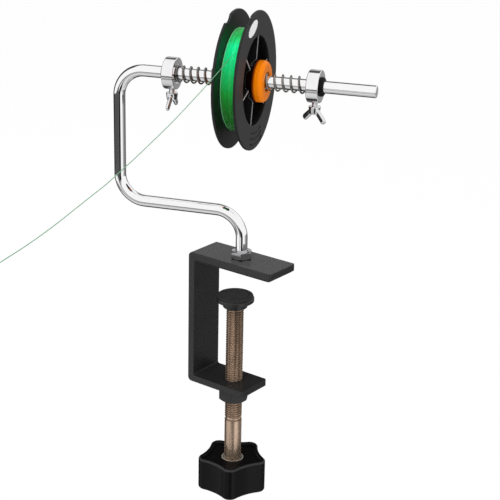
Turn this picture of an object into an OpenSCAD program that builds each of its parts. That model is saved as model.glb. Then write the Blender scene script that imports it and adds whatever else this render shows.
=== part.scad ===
// Fishing line winder: a table clamp, a bent spindle arm and a sprung line spool.
// Millimetres. The origin is the middle of the jaw face that rests on the table.
// +X runs from the clamp's spine in over the table, +Z is up.

/* [Clamp] */
// Width of the flat bar that the clamp is bent from
bar_width = 28; // [22:1:36]
// Thickness of the flat bar
bar_thickness = 5; // [3:0.5:8]
// Inside radius of the bar's two corners
bar_inside_radius = 1.5; // [0.5:0.5:4]
// Outside radius of the bar's two corners
bar_outside_radius = 3; // [0.5:0.5:5]
// Rounding of the bar's free corners, seen from above
bar_corner_radius = 1.5; // [0.5:0.5:5]
// Length of the top jaw, from the back of the spine to its front edge
jaw_length = 69; // [50:1:100]
// Length of the lower arm, from the back of the spine to its end
lower_arm_length = 48; // [45:1:60]
// Height from the lower arm up to the jaw's rubber face
mouth_height = 85; // [60:1:110]
// Thickness of the rubber sheet under the jaw
jaw_pad_thickness = 1; // [0.5:0.1:3]
// Distance from the back of the spine to the clamp screw's axis
screw_reach = 30; // [28:1:32]
// Thickness of the board that the clamp is closed on
board_thickness = 22; // [5:1:40]

/* [Clamp screw] */
// Outside diameter of the clamp screw
screw_diameter = 12; // [10:1:14]
// Rise of the screw's thread in one turn
thread_pitch = 1.75; // [1:0.25:3]
// Depth of the thread
thread_depth = 0.7; // [0.3:0.1:1]
// Length of the screw from its shoulder under the pressure plate to the knob
screw_length = 113; // [100:1:140]
// Plain length of the screw next to the knob
shank_length = 28; // [10:1:30]
// Width across the flats of the nut under the lower arm
screw_nut_flats = 19; // [18:1:22]
// Height of the nut under the lower arm
screw_nut_height = 10; // [6:1:14]
// Diameter of the pressure plate
plate_diameter = 26; // [22:1:32]
// Thickness of the pressure plate's disc
plate_thickness = 3; // [2:0.5:5]
// Diameter of the socket under the pressure plate
socket_diameter = 17; // [15:1:20]
// Depth of the socket under the pressure plate
socket_depth = 4.5; // [4:0.5:7]
// Thickness of the rubber disc on the pressure plate
plate_pad_thickness = 1.5; // [1:0.1:3]

/* [Knob] */
// Diameter of the knob over its lobes
knob_diameter = 49; // [44:1:60]
// Height of the knob
knob_height = 24; // [16:1:28]
// Number of lobes
knob_lobes = 5; // [3:1:7]
// Radius of each lobe's round tip
lobe_radius = 6; // [5:0.5:7]
// Radius from the knob's axis to the hollow between two lobes
knob_valley_radius = 19.5; // [16:0.5:20]
// Bevel round the knob's top and bottom edges
knob_bevel = 1.6; // [0.5:0.1:3]
// Diameter of the metal insert in the knob
insert_diameter = 16; // [15:0.5:18]
// Depth of the insert's top below the knob's top face
insert_sink = 1.8; // [0.5:0.1:3]
// Bevel round the insert's top edge
insert_bevel = 0.6; // [0.2:0.1:1]

/* [Spindle arm] */
// Diameter of the bent rod
rod_diameter = 8; // [6:0.5:9]
// Radius of the rod's bends, on its middle line
arm_bend_radius = 18; // [14:1:22]
// Height of the lower run's middle line over the jaw
lower_run_height = 32; // [30:1:45]
// Height of the spindle's middle line over the jaw
spindle_height = 122; // [105:1:150]
// Distance from the foot to the riser
back_reach = 87; // [80:1:110]
// Distance from the foot to the spindle's free end
front_reach = 87; // [75:1:110]
// Turn of the arm about its foot, from the jaw's length
arm_yaw = 20; // [-180:1:180]
// Bevel at the spindle's free end
rod_bevel = 0.8; // [0.2:0.1:1.5]
// Width across the flats of the lock nut on the foot
lock_nut_flats = 13; // [12:0.5:16]
// Height of the lock nut
lock_nut_height = 5; // [4:0.5:9]
// Turn of the lock nut about the foot
lock_nut_turn = 3; // [0:1:60]

/* [Collars] */
// Outside diameter of each collar
collar_diameter = 21; // [19:0.5:26]
// Width of each collar
collar_width = 8; // [7:0.5:12]
// Distance from the spool's middle to the left collar's inner face
collar_left_place = 45.8; // [40:0.1:48]
// Distance from the spool's middle to the right collar's inner face
collar_right_place = 43; // [38:0.1:60]
// Turn of the left collar about the spindle, towards the front
collar_left_turn = 0; // [-60:1:60]
// Turn of the right collar about the spindle, towards the front
collar_right_turn = 0; // [-60:1:60]
// Depth of the seats turned into both sides of a collar
collar_seat_depth = 1.9; // [1:0.1:2.2]
// Diameter of the plastic bushing in each collar's outer side
bushing_diameter = 12.5; // [11:0.5:15]
// Stand of the bushing out of the collar
bushing_stand = 2.2; // [1:0.1:4]

/* [Wing screws] */
// Diameter of the wing screws
wing_screw_diameter = 4; // [3:0.5:4]
// Diameter of the wing screw's hub
wing_hub_diameter = 8; // [6:0.5:10]
// Height of the wing screw's hub
wing_hub_height = 5.2; // [4:0.1:8]
// Bare length of the screw between collar and hub
wing_neck_length = 2.3; // [1.5:0.1:6]
// Distance over both wings' tips
wing_span = 20; // [16:0.5:26]
// Height of the wings' tips past the foot of the hub
wing_rise = 10.6; // [9:0.1:15]
// Width of a wing
wing_width = 4.4; // [3:0.1:6]
// Thickness of a wing
wing_thickness = 2.6; // [1.5:0.1:3]
// Turn of the left wing screw about its own axis
wing_left_turn = 90; // [0:5:175]
// Turn of the right wing screw about its own axis
wing_right_turn = 30; // [0:5:175]

/* [Springs] */
// Outside diameter of the springs
spring_diameter = 11.5; // [10.8:0.1:12]
// Diameter of the spring wire
spring_wire = 1.2; // [0.8:0.1:1.3]
// Turns of the left spring
spring_left_turns = 8.3; // [6:0.1:9]
// Turns of the right spring
spring_right_turns = 7.25; // [6:0.05:9]
// Rise of the first and last turn
spring_end_pitch = 1.75; // [1.75:0.05:2.2]
// Start of the left spring's wire, as a turn about the spindle
spring_left_start = 282; // [0:1:359]
// Start of the right spring's wire, as a turn about the spindle
spring_right_start = 143; // [0:1:359]

/* [Cones] */
// Diameter of the cones' rim
cone_diameter = 27; // [24:0.5:32]
// Distance from the spool's middle to a cone's outer face
cone_face_place = 15.2; // [14.9:0.1:20]
// Width of the rim, from the outer face to its back step
cone_rim_width = 6.7; // [5:0.1:6.8]
// Rounding of the rim's outer edge
cone_rounding = 3; // [1:0.1:3]
// Distance from the spool's middle to a cone's small end
cone_tip_place = 1.5; // [1:0.1:3]
// Half angle of the taper
cone_angle = 38; // [30:0.5:42]
// Depth of the spring's seat in a cone
cone_seat_depth = 3.6; // [2:0.1:4]
// Diameter of the spring's seat in a cone
cone_seat_diameter = 12.8; // [12.6:0.1:14]

/* [Spool] */
// Diameter of the spool's flanges
flange_diameter = 90; // [80:1:110]
// Width of the spool over its flanges
spool_width = 16; // [14:0.5:18]
// Thickness of a flange
flange_thickness = 1.8; // [1.2:0.1:2.5]
// Bevel round a flange's edge
flange_bevel = 0.4; // [0.2:0.1:0.5]
// Inside radius of the drum, which is the window in each flange
window_radius = 28.9; // [26:0.1:30]
// Wall of the drum
drum_wall = 1.6; // [1:0.1:2.5]
// Thickness of the disc between drum and hub
web_thickness = 1.6; // [1:0.1:3]
// Length of the hub
hub_length = 7.4; // [6:0.1:9]
// Wall of the hub
hub_wall = 1.6; // [1:0.1:3]
// Number of ribs on each side
rib_count = 6; // [3:1:12]
// Thickness of a rib
rib_thickness = 1.1; // [0.8:0.1:2]
// Depth of the ribs' edges below the flange's face
rib_recess = 1.3; // [0.5:0.1:3]
// Turn of the ribs about the spindle, from the top towards the front
rib_turn = -13; // [-30:1:30]
// Radius of the notch in each flange's rim
notch_radius = 8; // [5:0.5:12]
// Depth of the notch
notch_depth = 2.7; // [1:0.1:4]
// Turn of the left flange's notch from the top towards the front
notch_left_turn = 20; // [0:1:359]
// Turn of the right flange's notch from the top towards the front
notch_right_turn = 21; // [0:1:359]
// Number of curved grooves at the foot of the right flange
groove_count = 3; // [1:1:4]
// Width of a curved groove
groove_width = 1.2; // [0.6:0.1:2]
// Depth of a curved groove
groove_depth = 0.5; // [0.2:0.1:1]
// Angle that the curved grooves cover
groove_angle = 36; // [10:1:90]
// Length of the oval label
label_length = 19; // [14:0.5:26]
// Height of the oval label
label_height = 7.8; // [6:0.1:12]
// Thickness of the label
label_thickness = 0.25; // [0.1:0.05:0.5]
// Turn of the label from the top towards the front
label_turn = 16; // [0:1:359]
// Tilt of the label, which above zero brings its front end out
label_tilt = -2; // [-20:1:20]

/* [Line] */
// Diameter of the line
line_diameter = 0.5; // [0.3:0.05:0.55]
// Radius of the wound line under its outer layer
wound_radius = 32.6; // [32:0.1:40]
// Turns of the outer layer
wound_turns = 12; // [8:1:12]
// Diameter of the loop tied at the line's end
loop_diameter = 7; // [5:0.5:12]
// Diameter of the knot that closes the loop
knot_diameter = 1.8; // [1:0.1:3]

/* [Hidden] */

// Fineness of round faces
$fn = 72;
// Fineness of the rod's section, the same in its runs and bends
rod_facets = 48;
// Overrun of every cut past the face that it opens
overrun = 1;
// Radial clearance of a turning or threaded fit
running_clearance = 0.05;
// Gap between faces that move past each other
face_gap = 0.1;
// Gap between a spring or a turn of line and what it lies on
rest_gap = 0.1;

// Heights of the clamp, from the table face up and down
jaw_top = jaw_pad_thickness + bar_thickness;
lower_arm_top = -mouth_height;
lower_arm_bottom = lower_arm_top - bar_thickness;
spine_back = -jaw_length / 2;
spine_front = spine_back + bar_thickness;
screw_x = spine_back + screw_reach;

// Heights of the pressure plate and screw, with the board gripped
plate_pad_top = -board_thickness;
plate_top = plate_pad_top - plate_pad_thickness;
plate_bottom = plate_top - plate_thickness - socket_depth;
screw_top = plate_bottom - face_gap;
knob_top = screw_top - screw_length;
knob_bottom = knob_top - knob_height;
screw_radius = screw_diameter / 2;
thread_count = floor((screw_length - shank_length) / thread_pitch);
// Neck and head of the swaged joint between screw and plate
swage_neck_radius = screw_radius * 0.6;
swage_head_radius = screw_radius * 0.8;
swage_head_height = (plate_thickness + socket_depth) * 0.3;
swage_neck_height = (plate_thickness + socket_depth) * 0.4;
plate_bevel = plate_thickness / 4;

// Knob outline: round lobes joined by round hollows that meet them smoothly
lobe_place = knob_diameter / 2 - lobe_radius;
lobe_step = 360 / knob_lobes;
half_step = lobe_step / 2;
hollow_radius = (pow(knob_valley_radius, 2) + pow(lobe_place, 2)
    - 2 * knob_valley_radius * lobe_place * cos(half_step) - pow(lobe_radius, 2))
    / (2 * (lobe_place * cos(half_step) + lobe_radius - knob_valley_radius));
hollow_place = knob_valley_radius + hollow_radius;
// Angle at the lobe's centre between the lobe's axis and its meeting point with a hollow
lobe_open = 180 - atan2(hollow_place * sin(half_step), lobe_place - hollow_place * cos(half_step));
hollow_open = lobe_open - half_step;
arc_steps = 8;
// A lobe points at the photographed side
knob_turn = -57;
insert_radius = insert_diameter / 2;
insert_depth = knob_height * 0.6;

// Arm: heights of its middle line
lower_run_z = jaw_top + lower_run_height;
spindle_z = jaw_top + spindle_height;
rod_radius = rod_diameter / 2;
lock_nut_bottom = jaw_top + face_gap;
// Share of a nut's height that its corner bevel takes
nut_bevel_share = 0.14;

// Collars and their seats along the spindle
collar_radius = collar_diameter / 2;
collar_bevel = collar_width / 16;
spring_seat_radius = spring_diameter / 2 + spring_wire / 2;
rod_bore_radius = rod_radius + running_clearance;
bushing_radius = bushing_diameter / 2;

// Wing screw, measured out from the spindle's axis
wing_tip_clearance = face_gap;
wing_screw_radius = wing_screw_diameter / 2;
wing_hub_radius = wing_hub_diameter / 2;
wing_hub_foot = collar_radius + wing_neck_length;
wing_tip_radius = wing_width / 2;
wing_tip_side = wing_span / 2 - wing_tip_radius;
wing_tip_place = wing_hub_foot + wing_rise - wing_tip_radius;
wing_root_side = wing_hub_radius * 0.45;
wing_root_place = wing_hub_foot + wing_hub_height * 0.55;

// Springs
spring_radius = spring_diameter / 2 - spring_wire / 2;
spring_rings = 8;
wire_sides = 6;
cone_seat_place = cone_face_place - cone_seat_depth;
spring_lift = spring_wire / 2 + rest_gap;
spring_left_from = -collar_left_place - collar_seat_depth + spring_lift;
spring_left_to = -cone_seat_place - spring_lift;
spring_right_from = cone_seat_place + spring_lift;
spring_right_to = collar_right_place + collar_seat_depth - spring_lift;

// Spool and cones
flange_radius = flange_diameter / 2;
half_width = spool_width / 2;
groove_half = half_width - flange_thickness;
drum_radius = window_radius + drum_wall;
hub_half = hub_length / 2;
web_half = web_thickness / 2;
cone_slope = tan(cone_angle);
cone_radius = cone_diameter / 2;
cone_step_place = cone_face_place - cone_rim_width;
// The taper is set so that its step leaves this share of the rim's radius
cone_step_share = 0.9;
cone_step_radius = cone_radius * cone_step_share;
hub_bore_radius = cone_step_radius - (cone_step_place - hub_half) * cone_slope + face_gap;
hub_radius = hub_bore_radius + hub_wall;
cone_tip_radius = cone_step_radius - (cone_step_place - cone_tip_place) * cone_slope;
rib_edge = half_width - rib_recess;
// Height at which a rib meets the hub, a little below the hub's rim
rib_foot = hub_half - rib_recess / 2;
// Radius at which a rib starts to fall away to the hub
rib_fall_radius = hub_radius + rib_edge - rib_foot;
round_steps = 6;
label_radius = (flange_radius + window_radius) / 2;
label_points = 48;
groove_land = (flange_radius - drum_radius) / (groove_count + 1);

// Line: wound layer and free stretch; the flats of the wound tube clear the core
turn_rings = 24;
turn_radius = wound_radius / cos(180 / turn_rings) + line_diameter / 2 + rest_gap / 2;
turn_half = groove_half - line_diameter / 2 - rest_gap * 2;
lead_sides = 8;
lead_substeps = 4;
// Route of the free line, from the winding to its end: one stretch that sags
lead_route = [
    [10, -13.5, 158],
    [11.5, -28, 150.5],
    [13, -42.5, 143.5],
    [14.5, -57, 137],
    [16, -71.5, 131],
    [17.5, -86, 125],
    [19, -100.5, 119.5],
    [20.5, -115, 114.5],
    [22, -129.5, 109.5],
    [23.5, -144, 105],
    [25, -158.5, 100.5],
    [26.5, -173, 97],
    [28, -187.5, 93.5],
    [29.5, -202, 90],
    [31, -216.5, 87],
    [32.5, -231, 84.5],
    [34, -245.5, 82.5],
    [35.5, -260, 80.5]
];

// Unit vector
function unit(v) = v / norm(v);

// Direction of a path at point i
function heading(path, i) =
    unit(path[min(i + 1, len(path) - 1)] - path[max(i - 1, 0)]);

// Points of one ring of a tube, square to the path at point i
function ring(path, i, radius, sides) =
    let (along = heading(path, i))
    let (across = unit(cross(along, [0, 0, 1])))
    let (other = cross(across, along))
    [for (k = [0:sides - 1])
        path[i] + radius * (cos(k * 360 / sides) * across + sin(k * 360 / sides) * other)];

// Path with a straight run of one tube diameter at each end
function with_ends(path, diameter) =
    let (last = len(path) - 1)
    concat([path[0] - diameter * heading(path, 0)], path,
        [path[last] + diameter * heading(path, last)]);

// Tube along a path, as one closed surface of triangles
module tube(path, diameter, sides) {
    rings = len(path);
    // A polygon of this radius has the section of the round tube
    radius = diameter / 2;
    points = [for (i = [0:rings - 1]) each ring(path, i, radius, sides)];
    walls = [for (i = [0:rings - 2], k = [0:sides - 1])
        let (a = i * sides + k)
        let (b = i * sides + (k + 1) % sides)
        each [[a, b, b + sides], [a, b + sides, a + sides]]];
    first_cap = [for (k = [1:sides - 2]) [0, k + 1, k]];
    top = (rings - 1) * sides;
    last_cap = [for (k = [1:sides - 2]) [top, top + k, top + k + 1]];
    polyhedron(points = points, faces = concat(walls, first_cap, last_cap));
}

// Least distance between points of a path that are over half a turn apart, less the tube
function least_gap(path, diameter, rings_per_turn) =
    let (apart = rings_per_turn / 2)
    min([for (i = [0:len(path) - 1], j = [i + apart:len(path) - 1]) norm(path[j] - path[i])])
    - diameter;

// Middle line of a spring whose first and last turns lie closer, from one place to another
function spring_path(from, to, turns, start) =
    let (steps = round(turns * spring_rings))
    let (real_turns = steps / spring_rings)
    let (pitch = (to - from - 2 * spring_end_pitch) / (real_turns - 2))
    [for (i = [0:steps])
        let (t = i / spring_rings)
        let (rise = spring_end_pitch * (min(t, 1) + max(0, t - real_turns + 1))
            + pitch * max(0, min(t, real_turns - 1) - 1))
        [spring_radius * cos(start + 360 * t), spring_radius * sin(start + 360 * t), from + rise]];

spring_left_path = with_ends(
    spring_path(spring_left_from, spring_left_to, spring_left_turns, spring_left_start), spring_wire);
spring_right_path = with_ends(
    spring_path(spring_right_from, spring_right_to, spring_right_turns, spring_right_start), spring_wire);

// Middle line of the outer layer of line, laid from one flange to the other
turns_path = with_ends(
    [for (i = [0:wound_turns * turn_rings])
        let (t = i / turn_rings)
        [turn_radius * cos(360 * t), turn_radius * sin(360 * t),
            turn_half * (2 * t / wound_turns - 1)]],
    line_diameter);

// Point between two route points on a smooth curve through four of them
function between(a, b, c, d, t) =
    ((2 * b) + (c - a) * t + (2 * a - 5 * b + 4 * c - d) * t * t
    + (3 * b - a - 3 * c + d) * t * t * t) / 2;

lead_last = len(lead_route) - 1;
lead_path = concat(
    [for (i = [0:lead_last - 1], s = [0:lead_substeps - 1])
        between(
            i == 0 ? 2 * lead_route[0] - lead_route[1] : lead_route[i - 1],
            lead_route[i],
            lead_route[i + 1],
            i == lead_last - 1 ? 2 * lead_route[lead_last] - lead_route[lead_last - 1] : lead_route[i + 2],
            s / lead_substeps)],
    [lead_route[lead_last]]);

echo(spring_left_gap = least_gap(spring_left_path, spring_wire, spring_rings));
echo(spring_right_gap = least_gap(spring_right_path, spring_wire, spring_rings));
echo(line_turns_gap = least_gap(turns_path, line_diameter, turn_rings));

// Moves a shape built along Z onto the spindle: Z becomes the spindle, X points down
module along_spindle() {
    translate([0, 0, spindle_z])
        rotate([0, 0, arm_yaw])
            rotate([0, 90, 0])
                children();
}

// Turns a shape on the spindle by an angle from the top towards the front
module from_top(angle) {
    rotate([0, 0, 180 + angle])
        children();
}

// Quarter of a flat ring in the first quadrant
module quarter_ring(outer, inner) {
    intersection() {
        difference() {
            circle(r = outer);
            circle(r = inner);
        }
        square(outer);
    }
}

// Rectangle from the origin with its two far corners rounded
module rounded_end(length, width, radius) {
    translate([0, -width / 2])
        square([length - radius, width]);
    translate([0, radius - width / 2])
        square([length, width - 2 * radius]);
    for (side = [-1, 1])
        translate([length - radius, side * (width / 2 - radius)])
            circle(r = radius);
}

// Side view of the bar: jaw, spine and lower arm, with the spine's back at zero
module clamp_profile() {
    height = jaw_top - lower_arm_bottom;
    middle = (jaw_top + lower_arm_bottom) / 2;
    difference() {
        union() {
            translate([lower_arm_length, middle])
                mirror([1, 0])
                    rounded_end(lower_arm_length, height, bar_outside_radius);
            translate([bar_outside_radius, jaw_pad_thickness])
                square([jaw_length - bar_outside_radius, bar_thickness]);
        }
        translate([jaw_length, (jaw_pad_thickness + lower_arm_top) / 2])
            mirror([1, 0])
                rounded_end(jaw_length - bar_thickness, jaw_pad_thickness - lower_arm_top,
                    bar_inside_radius);
    }
}

// Clamp: a flat bar shaped to a C, drilled for the arm's foot above and for the screw below
module clamp_frame() {
    split = (jaw_top + lower_arm_bottom) / 2;
    color([0.1, 0.1, 0.11])
        difference() {
            intersection() {
                translate([spine_back, bar_width / 2, 0])
                    rotate([90, 0, 0])
                        linear_extrude(height = bar_width)
                            clamp_profile();
                union() {
                    translate([spine_back, 0, split])
                        linear_extrude(height = jaw_top + overrun - split)
                            rounded_end(jaw_length, bar_width, bar_corner_radius);
                    translate([spine_back, 0, lower_arm_bottom - overrun])
                        linear_extrude(height = split - lower_arm_bottom + overrun)
                            rounded_end(lower_arm_length, bar_width, bar_corner_radius);
                }
            }
            translate([0, 0, jaw_pad_thickness - overrun])
                cylinder(r = rod_radius + running_clearance, h = bar_thickness + 2 * overrun);
            translate([screw_x, 0, lower_arm_bottom - overrun])
                cylinder(r = screw_radius + running_clearance, h = bar_thickness + 2 * overrun);
        }
}

// Rubber sheet under the jaw, from the spine's bend to the front edge
module jaw_pad() {
    inset = bar_corner_radius;
    color([0.13, 0.13, 0.13])
        translate([spine_front + bar_inside_radius, 0, 0])
            linear_extrude(height = jaw_pad_thickness)
                rounded_end(jaw_length - bar_thickness - bar_inside_radius - inset,
                    bar_width - inset, bar_corner_radius);
}

// Hexagon nut with beveled corners and a bore, standing on its lower face
module hex_nut(flats, height, bore_radius) {
    corner_radius = flats / 2 / cos(30);
    bevel = height * nut_bevel_share;
    difference() {
        intersection() {
            cylinder(r = corner_radius, h = height, $fn = 6);
            union() {
                cylinder(r1 = flats / 2, r2 = corner_radius, h = bevel);
                translate([0, 0, bevel])
                    cylinder(r = corner_radius, h = height - 2 * bevel);
                translate([0, 0, height - bevel])
                    cylinder(r1 = corner_radius, r2 = flats / 2, h = bevel);
            }
        }
        translate([0, 0, -overrun])
            cylinder(r = bore_radius, h = height + 2 * overrun);
    }
}

// Nut welded under the lower arm, which the clamp screw turns in
module screw_nut() {
    color([0.12, 0.12, 0.13])
        translate([screw_x, 0, lower_arm_bottom - screw_nut_height])
            hex_nut(screw_nut_flats, screw_nut_height, screw_radius + running_clearance);
}

// Clamp screw: swaged head, threaded length, plain shank and a spigot in the knob's insert
module clamp_screw() {
    head_top = screw_top + swage_neck_height + swage_head_height;
    root_radius = screw_radius - thread_depth;
    crests = [for (i = [0:thread_count - 1])
        let (z = screw_top - i * thread_pitch)
        each [[root_radius, z], [screw_radius, z - thread_pitch * 3 / 8],
            [screw_radius, z - thread_pitch * 5 / 8]]];
    thread_end = screw_top - thread_count * thread_pitch;
    spigot_end = knob_top - insert_depth * 0.8;
    color([0.75, 0.73, 0.7])
        translate([screw_x, 0, 0])
            rotate_extrude()
                polygon(concat(
                    [[0, head_top], [swage_head_radius, head_top],
                        [swage_head_radius, head_top - swage_head_height],
                        [swage_neck_radius, head_top - swage_head_height],
                        [swage_neck_radius, screw_top]],
                    crests,
                    [[root_radius, thread_end], [screw_radius, thread_end - thread_depth],
                        [screw_radius, spigot_end], [0, spigot_end]]));
}

// Steel pressure plate that the screw's head is swaged into, so that it stays still on the board
module pressure_plate() {
    cavity_top = screw_top + swage_neck_height + swage_head_height + face_gap;
    cavity_bottom = screw_top + swage_neck_height - face_gap;
    color([0.14, 0.14, 0.15])
        translate([screw_x, 0, 0])
            rotate_extrude()
                polygon([
                    [0, plate_top],
                    [plate_diameter / 2 - plate_bevel, plate_top],
                    [plate_diameter / 2, plate_top - plate_bevel],
                    [plate_diameter / 2, plate_top - plate_thickness],
                    [socket_diameter / 2, plate_top - plate_thickness],
                    [socket_diameter / 2, plate_bottom + plate_bevel],
                    [socket_diameter / 2 - plate_bevel, plate_bottom],
                    [swage_neck_radius + running_clearance, plate_bottom],
                    [swage_neck_radius + running_clearance, cavity_bottom],
                    [swage_head_radius + running_clearance, cavity_bottom],
                    [swage_head_radius + running_clearance, cavity_top],
                    [0, cavity_top]]);
}

// Rubber disc on the pressure plate
module plate_pad() {
    color([0.13, 0.13, 0.13])
        translate([screw_x, 0, plate_top])
            cylinder(r = plate_diameter / 2 - plate_bevel, h = plate_pad_thickness);
}

// Star outline of the knob
module knob_outline() {
    lobe_arc = [for (s = [-arc_steps:arc_steps]) s / arc_steps * lobe_open];
    hollow_arc = [for (s = [-arc_steps + 1:arc_steps - 1]) s / arc_steps * hollow_open];
    polygon([for (i = [0:knob_lobes - 1])
        each concat(
            [for (a = lobe_arc)
                lobe_place * [cos(i * lobe_step), sin(i * lobe_step)]
                + lobe_radius * [cos(i * lobe_step + a), sin(i * lobe_step + a)]],
            [for (a = hollow_arc)
                hollow_place * [cos((i + 0.5) * lobe_step), sin((i + 0.5) * lobe_step)]
                - hollow_radius * [cos((i + 0.5) * lobe_step - a), sin((i + 0.5) * lobe_step - a)]])]);
}

// Star knob with beveled lobes and a hole for its insert
module knob() {
    knob_radius = knob_diameter / 2;
    color([0.05, 0.05, 0.05])
        translate([screw_x, 0, knob_bottom])
            difference() {
                intersection() {
                    rotate([0, 0, knob_turn])
                        linear_extrude(height = knob_height)
                            knob_outline();
                    union() {
                        cylinder(r1 = knob_radius - knob_bevel, r2 = knob_radius, h = knob_bevel);
                        translate([0, 0, knob_bevel])
                            cylinder(r = knob_radius, h = knob_height - 2 * knob_bevel);
                        translate([0, 0, knob_height - knob_bevel])
                            cylinder(r1 = knob_radius, r2 = knob_radius - knob_bevel, h = knob_bevel);
                    }
                }
                translate([0, 0, knob_height - insert_depth])
                    cylinder(r = insert_radius, h = insert_depth + overrun);
            }
}

// Metal insert that ties the screw to the knob
module knob_insert() {
    spigot_end = knob_top - insert_depth * 0.8;
    insert_height = insert_depth - insert_sink;
    color([0.8, 0.8, 0.8])
        translate([screw_x, 0, knob_top - insert_depth])
            difference() {
                rotate_extrude()
                    polygon([
                        [0, 0],
                        [insert_radius, 0],
                        [insert_radius, insert_height - insert_bevel],
                        [insert_radius - insert_bevel, insert_height],
                        [0, insert_height]]);
                translate([0, 0, spigot_end - knob_top + insert_depth])
                    cylinder(r = screw_radius, h = insert_depth + overrun);
            }
}

// Straight length of the rod along Z
module rod_run(length) {
    cylinder(r = rod_radius, h = length, $fn = rod_facets);
}

// Quarter bend of the rod in the XZ plane, from its start at the origin going up to going along -X
module rod_bend() {
    translate([-arm_bend_radius, 0, 0])
        rotate([90, 0, 0])
            rotate_extrude(angle = 90)
                translate([arm_bend_radius, 0])
                    circle(r = rod_radius, $fn = rod_facets);
}

// Spindle arm: one rod bent from its screwed foot to the level spindle
module arm_rod() {
    foot_top = lower_run_z - arm_bend_radius;
    riser_bottom = lower_run_z + arm_bend_radius;
    riser_top = spindle_z - arm_bend_radius;
    color([0.85, 0.85, 0.87])
        rotate([0, 0, arm_yaw]) {
            translate([0, 0, jaw_pad_thickness])
                rod_run(foot_top - jaw_pad_thickness);
            translate([0, 0, foot_top])
                rod_bend();
            translate([arm_bend_radius - back_reach, 0, lower_run_z])
                rotate([0, 90, 0])
                    rod_run(back_reach - 2 * arm_bend_radius);
            translate([-back_reach, 0, riser_bottom])
                mirror([1, 0, 0])
                    mirror([0, 0, 1])
                        rod_bend();
            translate([-back_reach, 0, riser_bottom])
                rod_run(riser_top - riser_bottom);
            translate([-back_reach, 0, riser_top])
                mirror([1, 0, 0])
                    rod_bend();
            translate([arm_bend_radius - back_reach, 0, spindle_z])
                rotate([0, 90, 0]) {
                    rod_run(back_reach + front_reach - arm_bend_radius - rod_bevel);
                    translate([0, 0, back_reach + front_reach - arm_bend_radius - rod_bevel])
                        cylinder(r1 = rod_radius, r2 = rod_radius - rod_bevel, h = rod_bevel,
                            $fn = rod_facets);
                }
        }
}

// Lock nut that holds the arm's foot at its angle
module lock_nut() {
    color([0.85, 0.85, 0.87])
        translate([0, 0, lock_nut_bottom])
            rotate([0, 0, lock_nut_turn])
                hex_nut(lock_nut_flats, lock_nut_height, rod_bore_radius);
}

// Stop collar with its inner face at height zero, spring seat below and bushing seat above
module collar() {
    difference() {
        rotate_extrude()
            polygon([
                [rod_bore_radius, collar_seat_depth],
                [spring_seat_radius, collar_seat_depth],
                [spring_seat_radius, 0],
                [collar_radius - collar_bevel, 0],
                [collar_radius, collar_bevel],
                [collar_radius, collar_width - collar_bevel],
                [collar_radius - collar_bevel, collar_width],
                [bushing_radius, collar_width],
                [bushing_radius, collar_width - collar_seat_depth],
                [rod_bore_radius, collar_width - collar_seat_depth]]);
        translate([0, 0, collar_width / 2])
            rotate([0, 90, 0])
                cylinder(r = wing_screw_radius + running_clearance, h = collar_radius + overrun);
    }
}

// Plastic bushing in a collar's outer side, with a round nose
module bushing() {
    nose = bushing_radius - rod_radius - spring_wire / 2;
    nose_place = collar_width + bushing_stand - nose;
    color([0.04, 0.04, 0.04])
        rotate_extrude()
            polygon(concat(
                [[rod_bore_radius, collar_width - collar_seat_depth],
                    [bushing_radius, collar_width - collar_seat_depth]],
                [for (s = [0:round_steps])
                    let (a = 90 * s / round_steps)
                    [bushing_radius - nose + nose * cos(a), nose_place + nose * sin(a)]],
                [[rod_bore_radius, collar_width + bushing_stand]]));
}

// One wing of a wing screw, on the +X side, with the screw's axis along Y
module wing_profile() {
    run = [wing_tip_side - wing_root_side, wing_tip_place - wing_root_place];
    translate([wing_root_side, wing_root_place])
        rotate(atan2(run[1], run[0])) {
            translate([0, -wing_tip_radius])
                square([norm(run), wing_width]);
            translate([norm(run), 0])
                circle(r = wing_tip_radius);
        }
}

// Wing screw standing out along X from the spindle's axis, wings turned from the spindle's line
module wing_screw(turn) {
    tip_place = rod_radius + wing_tip_clearance;
    color([0.85, 0.85, 0.87])
        rotate([0, 90, 0])
            rotate([0, 0, turn]) {
                translate([0, 0, tip_place])
                    cylinder(r = wing_screw_radius, h = wing_hub_foot + wing_hub_height / 2 - tip_place);
                translate([0, 0, wing_hub_foot])
                    cylinder(r1 = wing_hub_radius, r2 = wing_hub_radius * 0.85, h = wing_hub_height);
                for (side = [0, 180])
                    rotate([0, 0, side])
                        translate([0, wing_thickness / 2, 0])
                            rotate([90, 0, 0])
                                linear_extrude(height = wing_thickness)
                                    wing_profile();
            }
}

// Places a collar's parts: the left side is the mirror image of the right
module at_collar(right) {
    turn = right ? collar_right_turn : collar_left_turn;
    place = right ? collar_right_place : collar_left_place;
    along_spindle()
        rotate([0, 0, -turn])
            mirror([0, 0, right ? 0 : 1])
                translate([0, 0, place])
                    children();
}

module collar_left() {
    color([0.8, 0.8, 0.82])
        at_collar(false)
            collar();
}

module collar_right() {
    color([0.8, 0.8, 0.82])
        at_collar(true)
            collar();
}

module bushing_left() {
    at_collar(false)
        bushing();
}

module bushing_right() {
    at_collar(true)
        bushing();
}

module wing_screw_left() {
    at_collar(false)
        translate([0, 0, collar_width / 2])
            wing_screw(wing_left_turn);
}

module wing_screw_right() {
    at_collar(true)
        translate([0, 0, collar_width / 2])
            wing_screw(wing_right_turn);
}

module spring_left() {
    color([0.7, 0.7, 0.72])
        along_spindle()
            tube(spring_left_path, spring_wire, wire_sides);
}

module spring_right() {
    color([0.7, 0.7, 0.72])
        along_spindle()
            tube(spring_right_path, spring_wire, wire_sides);
}

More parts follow.
